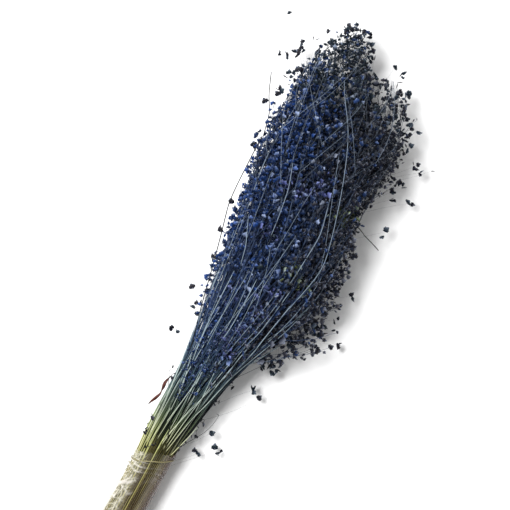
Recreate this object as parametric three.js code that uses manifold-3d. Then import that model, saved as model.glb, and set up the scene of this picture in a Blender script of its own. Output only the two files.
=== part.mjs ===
// Dried quaking grass: a dyed bunch that lies on a table, its lower stems rolled in a clear film sleeve.
// Millimetres, +Z up. +Y runs from the cut ends to the tips and +X across the bunch.
// The stems are grouped into tufts. Each tuft has a cell of the bunch's cross-section to itself from end
// to end, so that no tuft crosses another, and its stems are pressed into one body at the neck.

import * as THREE from "three";
import Module from "manifold-3d";

const wasm = await Module();
wasm.setup();

// Driving dimensions
const SEED = 7000;
const TUFT_COUNT = 28;
const TUFT_GAP = 0.4; // between neighbouring tufts
const KNOT = { from: 98, to: 110 }; // where the stems of a tuft are pressed into one body
const STEM_RADIUS = { neck: 1.2, head: 0.8, thinBy: 300 };
const STEM_END_SPREAD = 5; // how unevenly the stems are cut
const RACHIS_RADIUS = 0.6;

// A spikelet is broadest at belly, as a share of its length, and its radius varies by a share from one to
// the next. sway is how far they stand from the rachis and room the half width of a cell that takes full
// size ones, both on the scale of a cross-section with a half width of 1.
const SPIKELET = {
  length: 11.5,
  radius: 4.6,
  flatness: 0.7,
  belly: 0.4,
  tip: 0.35,
  varies: 0.3,
  sway: 0.025,
  room: 0.21,
};

// A panicle has two strings of spikelets. They run outwards from near to far, by shares of the cell's half
// width, at aside to either side, and start above the foot of the panicle. The second leaves the stem below.
const PANICLE = {
  rim: { count: 6, near: 0.5, far: 1.1 },
  inner: { count: 5, near: 0.2, far: 0.3 },
  aside: 0.46,
  start: 8,
  below: 6,
};

// How far the tips reach at the middle of the bunch, and how much less at its edge and at its depth. lean is
// how much further they reach on the right.
const TIP_REACH = { middle: 556, edge: 42, lean: 10, depth: 25 };
// The panicles stand proud of the bunch by a share of its half width. It grows from one place to another.
const PROUD = { share: 0.14, from: 195, to: 260 };
const FILM = { from: 10, to: 125, gap: 0.35, wall: 0.8, overlap: 0.9, crinkle: 1, flat: 5, restsTo: 80 };
const FILM_EDGE = { butt: 112, top: 80 }; // degrees round the bunch at which the film's edge shows
// climbs is how far round the film the band starts to rise to the film's edge, from 0 to 1
const BAND = { middle: 112, slant: 6.5, width: 2.6, thickness: 1.1, gap: 0.3, climbs: 0.94 };
const LEAF = { gap: 0.3, thickness: 0.8 };

// The middle, half width and half depth of the bunch at stations along it. turn is how far the stems have
// wound round the middle of the bunch, in degrees.
const STATIONS = [
  { along: 0, side: -3, height: 17.65, halfWidth: 17.5, halfDepth: 16.5, turn: 0 },
  { along: 110, side: 4, height: 18.7, halfWidth: 17, halfDepth: 16, turn: 0 },
  { along: 165, side: 9.5, height: 21.5, halfWidth: 23, halfDepth: 18.5, turn: 5 },
  { along: 215, side: 23, height: 26, halfWidth: 33, halfDepth: 23, turn: 10 },
  { along: 260, side: 36, height: 30.5, halfWidth: 46, halfDepth: 28, turn: 14 },
  { along: 310, side: 37, height: 33, halfWidth: 49, halfDepth: 31, turn: 17 },
  { along: 400, side: 33, height: 34.5, halfWidth: 55, halfDepth: 34, turn: 21 },
  { along: 465, side: 35, height: 34, halfWidth: 60, halfDepth: 33, turn: 24 },
  { along: 520, side: 29, height: 32, halfWidth: 47, halfDepth: 27, turn: 26 },
  { along: 566, side: 20, height: 31, halfWidth: 32, halfDepth: 18, turn: 27 },
];

// A stray stalk has count spikelets, and their size is a share of the others'. It bends outwards until bend,
// a share of its way out, and leaves the bunch no nearer to the tips than belowTips.
const STRAY = { count: 2, size: 0.7, bend: 0.8, belowTips: 110 };

// Thin stalks that stray from the outline, by where their last spikelet ends: to the side of the cut ends'
// middle line and along the bunch. back is how far down the bunch they leave it.
const STRAYS = [
  { side: 41, along: 176, back: 50 },
  { side: 66, along: 216, back: 42 },
  { side: 112, along: 290, back: 48 },
  { side: 105, along: 326, back: 42 },
  { side: 113, along: 398, back: 45 },
  { side: 119, along: 432, back: 45 },
  { side: 124, along: 468, back: 50 },
  { side: 82, along: 536, back: 45 },
  { side: -29, along: 234, back: 50 },
  { side: -25, along: 274, back: 40 },
  { side: -37, along: 440, back: 45 },
  { side: -45, along: 505, back: 48 },
  { side: -38, along: 545, back: 60 },
];

// The dry leaf's midrib, from where its sheath lies along the stem to its curled tip. out is how far it
// stands off the stem, width its blade and lean how far the blade is turned, in degrees.
const LEAF_RINGS = [
  { along: 192, out: 0, width: 1.6, lean: 0 },
  { along: 184, out: 0, width: 3.2, lean: 0 },
  { along: 174, out: 0.2, width: 4.6, lean: 8 },
  { along: 167, out: 2.6, width: 5.4, lean: 25 },
  { along: 161, out: 5.2, width: 4.6, lean: 45 },
  { along: 157, out: 6.6, width: 2.6, lean: 60 },
  { along: 154, out: 6.9, width: 1, lean: 70 },
];

// The three stems of a tuft: where each stands in the cell, by shares of its half widths, and where its
// panicle starts, from one share to another of the way up the head.
const HEAD_START = 208;
const STAGGER = { tuft: Math.SQRT2 - 1, rank: 0.35 }; // the step from one to the next, in shares of that way
const STEM_RANKS = [
  { outwards: 0.5, aside: 0, from: 0, to: 0.32 },
  { outwards: -0.4, aside: 0.5, from: 0.4, to: 0.82 },
  { outwards: -0.4, aside: -0.5, from: 0.88, to: 1 },
];

const CENTRE = new THREE.Vector2();
const { degToRad, euclideanModulo, lerp, radToDeg, smoothstep } = THREE.MathUtils;

// A repeatable source of numbers from 0 to 1.
function randomFrom(seed) {
  let state = seed;
  return () => {
    state = (state + 0x6d2b79f5) | 0;
    let mixed = Math.imul(state ^ (state >>> 15), 1 | state);
    mixed = (mixed + Math.imul(mixed ^ (mixed >>> 7), 61 | mixed)) ^ mixed;
    return ((mixed ^ (mixed >>> 14)) >>> 0) / 4294967296;
  };
}

// The cross-section at a place along the bunch, in a straight line between the stations on either side.
function sectionAt(along) {
  const last = STATIONS.length - 1;
  let index = 0;
  while (index < last - 1 && STATIONS[index + 1].along < along) index += 1;
  const [near, far] = [STATIONS[index], STATIONS[index + 1]];
  const share = (along - near.along) / (far.along - near.along);
  const section = {};
  for (const key of Object.keys(near)) section[key] = lerp(near[key], far[key], share);
  return section;
}

// A point of the unit disc, turned and stretched into the cross-section at a place along the bunch.
function place(spot, along) {
  const section = sectionAt(along);
  const turned = spot.clone().rotateAround(CENTRE, degToRad(section.turn));
  const x = section.side + section.halfWidth * turned.x;
  const z = section.height + section.halfDepth * turned.y;
  return new THREE.Vector3(x, along, z);
}

// How far from the middle the stems may spread: inside the film and where they are bare they keep to the
// disc, and the panicles of the head stand a little proud of it.
function spreadAt(along) {
  return 1 + PROUD.share * smoothstep(along, PROUD.from, PROUD.to);
}

// Spots spread evenly over the unit disc, one for each tuft, in the order of a sunflower's seeds.
function tuftSpots() {
  const golden = Math.PI * (3 - Math.sqrt(5));
  return Array.from({ length: TUFT_COUNT }, (_, index) => {
    const radius = Math.sqrt((index + 0.5) / TUFT_COUNT);
    return new THREE.Vector2(radius, 0).rotateAround(CENTRE, index * golden);
  });
}

// The part of a convex polygon on the near side of a line, given by its normal and its distance.
function clipPolygon(polygon, normal, limit) {
  const kept = [];
  polygon.forEach((point, index) => {
    const next = polygon[(index + 1) % polygon.length];
    const here = normal.dot(point) - limit;
    const there = normal.dot(next) - limit;
    if (here <= 0) kept.push(point);
    if (here * there < 0) kept.push(point.clone().lerp(next, here / (here - there)));
  });
  return kept;
}

// The centre of area of a convex polygon.
function centroidOf(polygon) {
  const middle = new THREE.Vector2();
  let area = 0;
  for (let index = 1; index < polygon.length - 1; index += 1) {
    const [a, b, c] = [polygon[0], polygon[index], polygon[index + 1]];
    const share = b.clone().sub(a).cross(c.clone().sub(a));
    middle.addScaledVector(a, share / 3).addScaledVector(b, share / 3).addScaledVector(c, share / 3);
    area += share;
  }
  return middle.divideScalar(area);
}

// The cell of one tuft: the lines half way to each other tuft, the polygon that they leave of the disc,
// its middle and its half widths outwards and across. atRim says that the cell is open to the outside.
function cellOf(spots, index) {
  const spot = spots[index];
  const lines = [];
  const sides = 18;
  const nearRim = 0.985;
  let polygon = Array.from({ length: sides }, (_, side) =>
    new THREE.Vector2(1, 0).rotateAround(CENTRE, (side / sides) * Math.PI * 2));
  spots.forEach((other, otherIndex) => {
    if (otherIndex === index) return;
    const normal = other.clone().sub(spot).normalize();
    const limit = normal.dot(other.clone().add(spot).multiplyScalar(0.5));
    lines.push({ normal, limit });
    polygon = clipPolygon(polygon, normal, limit);
  });
  const middle = centroidOf(polygon);
  const out = middle.clone().normalize();
  const across = new THREE.Vector2(-out.y, out.x);
  const halfWidth = (way) => {
    const reaches = polygon.map((corner) => corner.clone().sub(middle).dot(way));
    return (Math.max(...reaches) - Math.min(...reaches)) / 2;
  };
  const atRim = polygon.filter((corner) => corner.length() > nearRim).length > 2;
  const halves = { halfOut: halfWidth(out), halfAcross: halfWidth(across) };
  return { lines, polygon, middle, out, across, atRim, ...halves };
}

// A spot moved as little as needed to lie inside its cell and above the table, with room in millimetres
// for its strand and a gap to each wall. In a sharp corner of the cell it is drawn to the cell's middle as
// well. free lets it leave the bunch outwards.
function keepInCell(spot, cell, along, room, free = false) {
  const section = sectionAt(along);
  const share = (room + TUFT_GAP / 2) / section.halfDepth;
  const down = new THREE.Vector2(0, -1).rotateAround(CENTRE, -degToRad(section.turn));
  const table = { normal: down, limit: (section.height - room) / section.halfDepth + share };
  const most = free ? Infinity : spreadAt(along) - share;
  const kept = spot.clone();
  let moved = true;
  for (let pass = 0; moved && pass < 12; pass += 1) {
    if (pass > 2) kept.lerp(cell.middle, 0.15);
    moved = kept.length() > most;
    kept.clampLength(0, most);
    for (const { normal, limit } of [...cell.lines, table]) {
      const over = normal.dot(kept) - (limit - share);
      if (over < 1e-3) continue;
      kept.addScaledVector(normal, -over);
      moved = true;
    }
  }
  return kept;
}

// A spot of a cell, given by shares of its half widths outwards from the middle of the bunch and across.
function spotIn(cell, outwards, aside) {
  const spot = cell.middle.clone().addScaledVector(cell.out, outwards * cell.halfOut);
  return spot.addScaledVector(cell.across, aside * cell.halfAcross);
}

// A manifold solid of corners and faces, turned right side out.
function makeSolid(corners, faces) {
  let volume = 0;
  for (let index = 0; index < faces.length; index += 3) {
    const [a, b, c] = [0, 1, 2].map((step) => corners[faces[index + step]]);
    volume += a.dot(b.clone().cross(c));
  }
  const turned = volume < 0 ? faces.slice().reverse() : faces;
  const vertProperties = new Float32Array(corners.flatMap((corner) => corner.toArray()));
  return new wasm.Manifold(new wasm.Mesh({ numProp: 3, vertProperties, triVerts: new Uint32Array(turned) }));
}

// The faces of the wall between rings of corners, each of the same number, from corner number first on.
function wallFaces(ringCount, sides, first = 0) {
  const faces = [];
  for (let ring = 0; ring < ringCount - 1; ring += 1) {
    for (let side = 0; side < sides; side += 1) {
      const a = first + ring * sides + side;
      const b = first + ring * sides + ((side + 1) % sides);
      faces.push(a, b, b + sides, a, b + sides, a + sides);
    }
  }
  return faces;
}

// A closed solid through rings of points, with flat ends.
function solidThrough(rings) {
  const sides = rings[0].length;
  const faces = wallFaces(rings.length, sides);
  const end = (rings.length - 1) * sides;
  for (let side = 1; side < sides - 1; side += 1) {
    faces.push(0, side + 1, side);
    faces.push(end, end + side, end + side + 1);
  }
  return makeSolid(rings.flat(), faces);
}

// A tube with a wall: rings of outer corners and, one for one, rings of inner corners.
function tubeThrough(outerRings, innerRings) {
  const sides = outerRings[0].length;
  const count = outerRings.length;
  const inner = count * sides;
  const faces = [...wallFaces(count, sides), ...wallFaces(count, sides, inner).reverse()];
  const last = (count - 1) * sides;
  for (let side = 0; side < sides; side += 1) {
    const next = (side + 1) % sides;
    faces.push(side, inner + next, next, side, inner + side, inner + next);
    faces.push(last + side, last + next, last + inner + next);
    faces.push(last + side, last + inner + next, last + inner + side);
  }
  return makeSolid([...outerRings.flat(), ...innerRings.flat()], faces);
}

// One ring of a strand: a triangle across the bunch, held inside the tuft's cell.
function strandRing({ spot, along, radius, flatness = 1, free }, cell) {
  const sides = 3;
  const middle = place(keepInCell(spot, cell, along, radius * flatness, free), along);
  return Array.from({ length: sides }, (_, side) => {
    const angle = ((side + 0.25) / sides) * Math.PI * 2;
    const x = middle.x + radius * Math.cos(angle);
    const z = middle.z + radius * flatness * Math.sin(angle);
    return new THREE.Vector3(x, along, z);
  });
}

// A strand: a three-sided tube through its points, each with a spot, a place along and a radius.
function strand(points, cell) {
  return solidThrough(points.map((point) => strandRing(point, cell)));
}

// The points of a string of spikelets on a rachis that runs from one spot to another. Each spikelet is
// broad near its foot and pointed at its tip, and they stand alternately to the two sides.
function spikeletString({ from, to, start, count, size, free }, random) {
  const points = [];
  const aside = new THREE.Vector2(SPIKELET.sway, 0).rotateAround(CENTRE, random() * Math.PI * 2);
  for (let index = 0; index < count; index += 1) {
    const along = start + index * SPIKELET.length;
    const spot = from.clone().lerp(to, index / Math.max(1, count - 1));
    const swayed = spot.clone().addScaledVector(aside, index % 2 ? -1 : 1);
    const radius = size * (1 + SPIKELET.varies * (random() - 0.5));
    const belly = along + SPIKELET.length * SPIKELET.belly;
    points.push({ spot, along, radius: RACHIS_RADIUS, free });
    points.push({ spot: swayed, along: belly, radius, flatness: SPIKELET.flatness, free });
  }
  points.push({ spot: to, along: start + count * SPIKELET.length, radius: SPIKELET.tip, free });
  return points;
}

// The furthest place along the bunch that a tip reaches at a spot of the disc.
function tipLimit(spot) {
  const { middle, edge, lean, depth } = TIP_REACH;
  return middle - edge * spot.x ** 2 + lean * spot.x - depth * spot.y ** 2;
}

// How thick a stem is at a place along the bunch.
function stemRadiusAt(along) {
  return lerp(STEM_RADIUS.neck, STEM_RADIUS.head, smoothstep(along, KNOT.to, STEM_RADIUS.thinBy));
}

// The points of a bare stem that keeps its spot in the cell, from the cut end to its last place. It bends at
// the stations, but not just before its end.
function stemPoints(spot, start, end) {
  const straight = 12;
  const stations = STATIONS.map((station) => station.along);
  const between = stations.filter((along) => along > start && along < end - straight);
  return [start, ...between, end].map((along) => ({ spot, along, radius: stemRadiusAt(along) }));
}

// One stem with its panicle: a string of spikelets at its tip, and one beside it from lower on the stem.
function floweringStem(cell, stemSpot, foot, random) {
  const { count, near, far } = cell.atRim ? PANICLE.rim : PANICLE.inner;
  const size = SPIKELET.radius * Math.min(1, cell.halfAcross / SPIKELET.room);
  const side = cell.across.dot(stemSpot.clone().sub(cell.middle)) < 0 ? -1 : 1;
  const string = (sign, start, stringCount) => {
    const from = spotIn(cell, near + 0.2 * random(), sign * PANICLE.aside);
    const to = spotIn(cell, far + 0.3 * random(), sign * (0.5 + 0.2 * random()));
    return spikeletString({ from, to, start, count: stringCount, size }, random);
  };
  const start = foot + PANICLE.start;
  const stem = stemPoints(stemSpot, random() * STEM_END_SPREAD, foot);
  const tip = string(side, start + SPIKELET.length / 2, count - 1);
  const root = { spot: stemSpot, along: foot - PANICLE.below, radius: RACHIS_RADIUS };
  return [strand([...stem, ...tip], cell), strand([root, ...string(-side, start, count)], cell)];
}

// A tuft: three stems side by side, whose panicles follow each other up the head. Inside the bunch the
// first of them is left out.
function tuftStems(cell, index, random) {
  const { count } = cell.atRim ? PANICLE.rim : PANICLE.inner;
  const last = tipLimit(cell.middle) - count * SPIKELET.length - PANICLE.start;
  return STEM_RANKS.slice(cell.atRim ? 0 : 1).flatMap(({ outwards, aside, from, to }, rank) => {
    const stagger = (index * STAGGER.tuft + rank * STAGGER.rank) % 1;
    const foot = lerp(HEAD_START, last, lerp(from, to, stagger));
    return floweringStem(cell, spotIn(cell, outwards, aside), foot, random);
  });
}

// A stray stalk of a tuft at the rim: it leaves the tuft's tallest stem outwards, by the foot of its
// panicle at the latest, and ends in two spikelets.
function strayStalk(cell, stray, random) {
  const tip = sectionAt(stray.along);
  const turned = cell.out.clone().rotateAround(CENTRE, degToRad(tip.turn));
  const reach = (stray.side - tip.side) / (tip.halfWidth * turned.x);
  const tallest = STEM_RANKS.at(-1);
  const rootSpot = spotIn(cell, tallest.outwards, tallest.aside);
  const rootAlong = Math.min(stray.along - stray.back, tipLimit(cell.middle) - STRAY.belowTips);
  const to = cell.out.clone().multiplyScalar(reach);
  const from = rootSpot.clone().lerp(to, STRAY.bend);
  const start = stray.along - STRAY.count * SPIKELET.length;
  const size = SPIKELET.radius * STRAY.size;
  const string = spikeletString({ from, to, start, count: STRAY.count, size, free: true }, random);
  return strand([{ spot: rootSpot, along: rootAlong, radius: RACHIS_RADIUS }, ...string], cell);
}

// The tuft at the rim that a stray leaves: the one furthest to its side of the bunch, or the next one.
function strayTuft(cells, stray, choice) {
  const section = sectionAt(stray.along);
  const sign = Math.sign(stray.side - section.side);
  const sideways = (cell) => sign * cell.middle.clone().rotateAround(CENTRE, degToRad(section.turn)).x;
  const ranked = cells.filter((cell) => cell.atRim).sort((a, b) => sideways(b) - sideways(a));
  return ranked[choice % 2];
}

// The knot of a tuft: its stems pressed together at the neck fill the cell there.
function knotOf(cell) {
  return solidThrough([KNOT.from, KNOT.to].map((along) =>
    cell.polygon.map((corner) => place(keepInCell(corner, cell, along, 0), along))));
}

// Solids joined into one, less what isn't joined to the largest and any hollow sealed inside.
function fuse(solids) {
  const joined = solids.reduce((sum, solid) => sum.add(solid));
  return joined.decompose().reduce((best, body) => (body.volume() > best.volume() ? body : best));
}

// How far the film's outer face stands off the bunch. It is crinkled along the stems and pressed smooth
// at the neck, and its edge overlaps the first turn. roll is how far round from that edge, from 0 to 1.
function filmThickness(along, roll) {
  const pressed = 1 - smoothstep(along, FILM.restsTo, KNOT.from);
  const folds = Math.sin(roll * Math.PI * 14 + along / 8) * Math.sin(roll * Math.PI * 6 - along / 13);
  const crinkle = FILM.crinkle * pressed * Math.max(0, folds);
  const overlap = FILM.overlap * (1 - smoothstep(roll, 0.12, 0.26));
  return FILM.gap + FILM.wall + crinkle + overlap;
}

// Where the film's edge runs, in degrees round the bunch.
function filmEdgeAt(along) {
  return lerp(FILM_EDGE.butt, FILM_EDGE.top, along / FILM.to);
}

// A point off the bunch at a place along it and round it from the film's edge.
function wrapPoint(along, roll, off) {
  const angle = degToRad(filmEdgeAt(along) + roll * 360);
  const section = sectionAt(along);
  const x = section.side + (section.halfWidth + off) * Math.cos(angle);
  const z = section.height + (section.halfDepth + off) * Math.sin(angle);
  return new THREE.Vector3(x, along, z);
}

// The film sleeve, rolled round the stems from near their cut ends to just above the neck. It rests on a
// flat strip of its underside.
function filmSleeve() {
  const sides = 22;
  const alongs = [FILM.from, 28, 46, 64, 82, 98, KNOT.to, FILM.to];
  const rings = (pointAt) => alongs.map((along) =>
    Array.from({ length: sides + 1 }, (_, side) => pointAt(along, side / sides)));
  const outer = rings((along, roll) => {
    const point = wrapPoint(along, roll, filmThickness(along, roll));
    const beside = Math.abs(point.x - sectionAt(along).side);
    const rests = along < FILM.restsTo && beside < FILM.flat && point.z < FILM.flat;
    point.z = rests ? 0 : Math.max(point.z, 0);
    return point;
  });
  const inner = rings((along, roll) => wrapPoint(along, roll, FILM.gap));
  return tubeThrough(outer, inner);
}

// The elastic band, one turn aslant round the film at the neck.
function neckBand() {
  const sides = 24;
  const corners = [[-0.5, 0], [0.5, 0], [0.5, 1], [-0.5, 1]];
  const rings = Array.from({ length: sides }, (_, side) => {
    const angle = (side / sides) * Math.PI * 2;
    const middle = BAND.middle + BAND.slant * Math.cos(angle);
    return corners.map(([width, rise]) => {
      const along = middle + width * BAND.width;
      const roll = euclideanModulo(radToDeg(angle) - filmEdgeAt(along), 360) / 360;
      const under = filmThickness(along, roll > BAND.climbs ? 0 : roll);
      return wrapPoint(along, roll, under + BAND.gap + rise * BAND.thickness);
    });
  });
  const faces = wallFaces(sides, corners.length);
  const last = (sides - 1) * corners.length;
  corners.forEach((_, corner) => {
    const next = (corner + 1) % corners.length;
    faces.push(last + corner, last + next, next, last + corner, next, corner);
  });
  return makeSolid(rings.flat(), faces);
}

// The dry leaf at the left edge: its sheath lies along the outermost stem and its blade curls outwards.
function dryLeaf(cell) {
  const corners = [[-0.5, -0.5], [0.5, -0.5], [0.5, 0.5], [-0.5, 0.5]];
  return solidThrough(LEAF_RINGS.map(({ along, out, width, lean }) => {
    const radius = stemRadiusAt(along);
    const middle = place(keepInCell(spotIn(cell, 0.5, 0), cell, along, radius), along);
    middle.x -= radius + LEAF.gap + LEAF.thickness / 2 + out;
    return corners.map(([thin, wide]) => {
      const corner = new THREE.Vector2(thin * LEAF.thickness, wide * width);
      corner.rotateAround(CENTRE, degToRad(lean));
      return new THREE.Vector3(middle.x + corner.x, along, middle.z + corner.y);
    });
  }));
}

// A named mesh of a solid.
function meshOf(name, solid, material) {
  const { vertProperties, triVerts } = solid.getMesh();
  const geometry = new THREE.BufferGeometry();
  geometry.setAttribute("position", new THREE.BufferAttribute(vertProperties, 3));
  geometry.setIndex(new THREE.BufferAttribute(triVerts, 1));
  geometry.computeVertexNormals();
  const mesh = new THREE.Mesh(geometry, material);
  mesh.name = name;
  return mesh;
}

// The dye of a tuft: royal blue at the left of the bunch, navy in the middle and charcoal at the right.
function dyedGrass(cell) {
  const [royal, navy, charcoal] = [0x2f3f8c, 0x1c2748, 0x2e2b30].map((hex) => new THREE.Color(hex));
  const side = cell.middle.x;
  const color = side < 0 ? navy.lerp(royal, -side) : navy.lerp(charcoal, side);
  return new THREE.MeshStandardMaterial({ color, roughness: 0.85, metalness: 0 });
}

const filmMaterial = new THREE.MeshStandardMaterial({
  color: 0xece4e2,
  roughness: 0.25,
  metalness: 0,
  transparent: true,
  opacity: 0.4,
});
const bandMaterial = new THREE.MeshStandardMaterial({ color: 0xd8cfae, roughness: 0.55, metalness: 0 });
const leafMaterial = new THREE.MeshStandardMaterial({ color: 0x6b3a2c, roughness: 0.9, metalness: 0 });

const bunch = new THREE.Group();
const spots = tuftSpots();
const cells = spots.map((_, index) => cellOf(spots, index));
const strayOwners = STRAYS.map((stray, index) => strayTuft(cells, stray, index));
cells.forEach((cell, index) => {
  const random = randomFrom(SEED + index);
  const stems = tuftStems(cell, index, random);
  const strays = STRAYS.filter((_, stray) => strayOwners[stray] === cell);
  const stalks = strays.map((stray) => strayStalk(cell, stray, random));
  const name = `grass_tuft_${String(index + 1).padStart(2, "0")}`;
  bunch.add(meshOf(name, fuse([knotOf(cell), ...stems, ...stalks]), dyedGrass(cell)));
});
const leftmost = strayTuft(cells, { side: -100, along: 175 }, 0);
bunch.add(meshOf("film_sleeve", filmSleeve(), filmMaterial));
bunch.add(meshOf("neck_band", neckBand(), bandMaterial));
bunch.add(meshOf("dry_leaf", dryLeaf(leftmost), leafMaterial));

// The origin is under the middle of the bunch's bounding box.
const box = new THREE.Box3().setFromObject(bunch);
const middle = box.getCenter(new THREE.Vector3());
bunch.position.set(-middle.x, -middle.y, -box.min.z);

export default bunch;
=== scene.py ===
"""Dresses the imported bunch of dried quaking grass: fine stems, loose panicles of papery spikelets, crinkled
clear film with its band, and a curled dry leaf. Metres, +Z up, +Y from the cut ends to the tips."""

import math

import bpy
import numpy as np
from bpy.props import FloatProperty, FloatVectorProperty, IntProperty, PointerProperty
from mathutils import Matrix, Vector


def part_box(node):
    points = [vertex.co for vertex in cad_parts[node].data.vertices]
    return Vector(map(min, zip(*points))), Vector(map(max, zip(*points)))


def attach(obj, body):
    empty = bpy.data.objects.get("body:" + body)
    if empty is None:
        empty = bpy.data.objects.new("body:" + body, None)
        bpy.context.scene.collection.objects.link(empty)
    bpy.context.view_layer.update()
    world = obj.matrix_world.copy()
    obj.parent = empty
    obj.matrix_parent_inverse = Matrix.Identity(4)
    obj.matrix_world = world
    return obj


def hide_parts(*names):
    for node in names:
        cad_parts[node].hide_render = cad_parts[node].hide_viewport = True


bl_info = {
    "name": "Dried quaking grass bunch",
    "version": (1, 0, 0),
    "blender": (4, 5, 0),
    "location": "View3D > Sidebar > Quaking grass",
    "description": "Grows the fine stems, panicles, film, band and leaf of a dyed bunch of dried grass",
    "category": "Add Mesh",
}

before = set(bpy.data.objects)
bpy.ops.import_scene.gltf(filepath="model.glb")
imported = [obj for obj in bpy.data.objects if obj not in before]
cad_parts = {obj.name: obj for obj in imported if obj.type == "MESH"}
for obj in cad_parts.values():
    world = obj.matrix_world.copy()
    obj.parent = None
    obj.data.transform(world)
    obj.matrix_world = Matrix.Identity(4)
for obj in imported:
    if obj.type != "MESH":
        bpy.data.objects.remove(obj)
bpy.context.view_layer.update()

MM = 0.001
GOLDEN_ANGLE = math.pi * (3 - math.sqrt(5))
UV_NAME = "OFBake"

# The seeds of the random draws: for the bunch, for the first tuft, from which the others count on, and for
# the loose stalks.
BUNCH_SEED, TUFT_SEED, LOOSE_SEED = 11, 500, 77

# Where the bunch's own measures, to the side and along, have their zero in the frame, in millimetres.
SIDE_SHIFT = -38.8
ALONG_SHIFT = -272.57

# The bunch's cross-section at stations along it, in millimetres: along, side, height, half width, half depth
# and, in degrees, how far the stems have wound round its middle.
STATIONS = np.array([
    (0, -3, 17.65, 17.5, 16.5, 0),
    (110, 4, 18.7, 17, 16, 0),
    (135, 5, 19.8, 19, 16.8, 2),
    (165, 9.9, 21.5, 22.4, 18.5, 5),
    (195, 13.6, 23.8, 24.6, 20.8, 8),
    (215, 16.8, 26, 27.3, 23, 10),
    (240, 20.8, 28.6, 32.8, 25.6, 12),
    (265, 26.8, 30.5, 40.8, 28, 14),
    (310, 33.5, 33, 50.5, 31, 17),
    (350, 34.2, 33.7, 54.5, 32.5, 19),
    (400, 31.5, 34.5, 58.5, 34, 21),
    (450, 33.5, 34.5, 60.5, 34, 23),
    (475, 34.5, 33.5, 58, 32, 24),
    (500, 30, 32.5, 51, 29, 25),
    (522, 25, 31.5, 40, 26, 26),
    (566, 14, 31, 20, 18, 27),
])
BUNCH_LENGTH = 560
NECK = 110
HEAD_START = 208
TUFT_NAMES = [f"grass_tuft_{number:02d}" for number in range(1, 29)]

# How far along the tips reach in the middle, and how much less at the sides, at the top and underside, and
# besides at the far left. Millimetres.
TIP_REACH, TIP_EDGE, TIP_DEPTH, TIP_LEFT = 535, 32, 22, 24

# How much of the section the stems' spots fill, and how far out a stem may wander, with 1 at the edge.
SPOTS_FILL, FURTHEST_OUT = 0.94, 0.96

# How far apart the cut ends stand, how long a panicle is and where a bare stem ends. Millimetres.
CUT_SPREAD = 6
PANICLE_LENGTH = (100, 130)
BARE_TIPS = (300, 430)

# Steps whose multiples, without their whole parts, spread evenly from 0 to 1. They settle which stems are
# bare and how far along each panicle ends.
BARE_STEP, STAGGER_STEP = 0.4142, 0.7548777

# Stray spikelets on hair-thin stalks: where they are, to the side and along, how far back the stalk leaves
# the bunch, and how many spikelets it bears. Millimetres.
STRAYS = [
    # The lower right edge.
    (90.5, 281, -4, 5), (99.3, 281.4, -6, 5), (97.5, 290.7, 4, 5), (86, 272, -12, 5), (79.8, 263.4, -16, 5),
    (74.9, 235.8, -30, 5), (66.2, 238, -24, 5), (73, 245, -24, 5), (61, 232, -26, 5), (92, 288, 4, 5),
    (56, 240, -24, 2), (60, 240, -26, 3), (70, 239, -28, 3), (78, 252, -20, 2), (94, 280, -8, 4),
    (88, 268, -14, 3),
    # Below the head and beside the neck.
    (63.8, 210.5, 34, 3), (69.7, 202.2, 40, 1), (43, 156, 24, 2), (41, 134, 18, 3), (58.3, 144, 34, 4),
    # Up the right edge to the crown.
    (84.8, 270.1, -14, 3), (117.2, 281.1, 20, 3), (105.8, 301.2, 24, 2), (108.1, 326.6, 22, 2),
    (94.5, 345, 20, 2), (111.2, 394.1, 24, 3), (104, 424, 22, 3), (106.3, 439.5, 22, 4), (100.7, 431, 26, 3),
    (121.6, 428.3, 30, 3), (111, 462, 26, 4), (117.9, 458.1, 28, 2), (126.3, 464, 34, 1),
    (97.3, 474, 30, 3), (91.8, 483.5, 26, 3), (98.2, 491.5, 30, 3), (87.7, 496.8, 26, 3),
    (78.5, 507.7, 26, 2), (76.7, 518.1, 30, 3), (63.1, 532, 36, 4), (54.5, 533.1, 34, 1),
    # The crown.
    (22, 550, 40, 4), (13, 552, 36, 4), (6, 551, 34, 3), (0, 549, 36, 3), (28, 541, 32, 3), (34, 533, 30, 3),
    # Down the left edge.
    (-7.4, 530, 30, 3), (-13.8, 519, 26, 3), (-16.6, 538, 44, 1), (-22.6, 527, 36, 2), (-31, 521, 38, 2),
    (-47.2, 503, 44, 2), (-38.5, 504, 34, 2), (-35, 510, 34, 3), (-30, 514, 32, 3), (-54.3, 542, 60, 1),
    (-31.1, 488, 28, 4), (-23.9, 495, 26, 4), (-33.2, 471, 22, 4), (-39, 455, 24, 1),
    (-30, 228.7, 26, 2), (-22.6, 228.1, 22, 1), (-27.6, 271.5, 26, 2), (-18.6, 259, 20, 2),
    (-23.8, 305, 20, 3), (-14.7, 250, 18, 1), (-29.3, 358, 22, 2), (-29, 330, 18, 2), (-33, 415, 18, 3),
]

# Where the small panicles end that fray the crown and the upper edges, to the side and along. Millimetres.
CROWN_TIPS = np.array([
    (4, 550), (8, 541), (12, 547), (15, 536), (20, 545), (24, 538), (11, 530), (19, 530), (2, 538),
    (-6, 528), (-22, 505), (-30, 507), (-12, 510), (-35, 500), (-34, 450), (-31, 470), (-33, 432),
    (-30, 488), (-36, 442), (-30, 415), (-34, 460), (103, 456), (105, 447), (103, 466), (99, 436), (96, 475),
])

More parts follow.
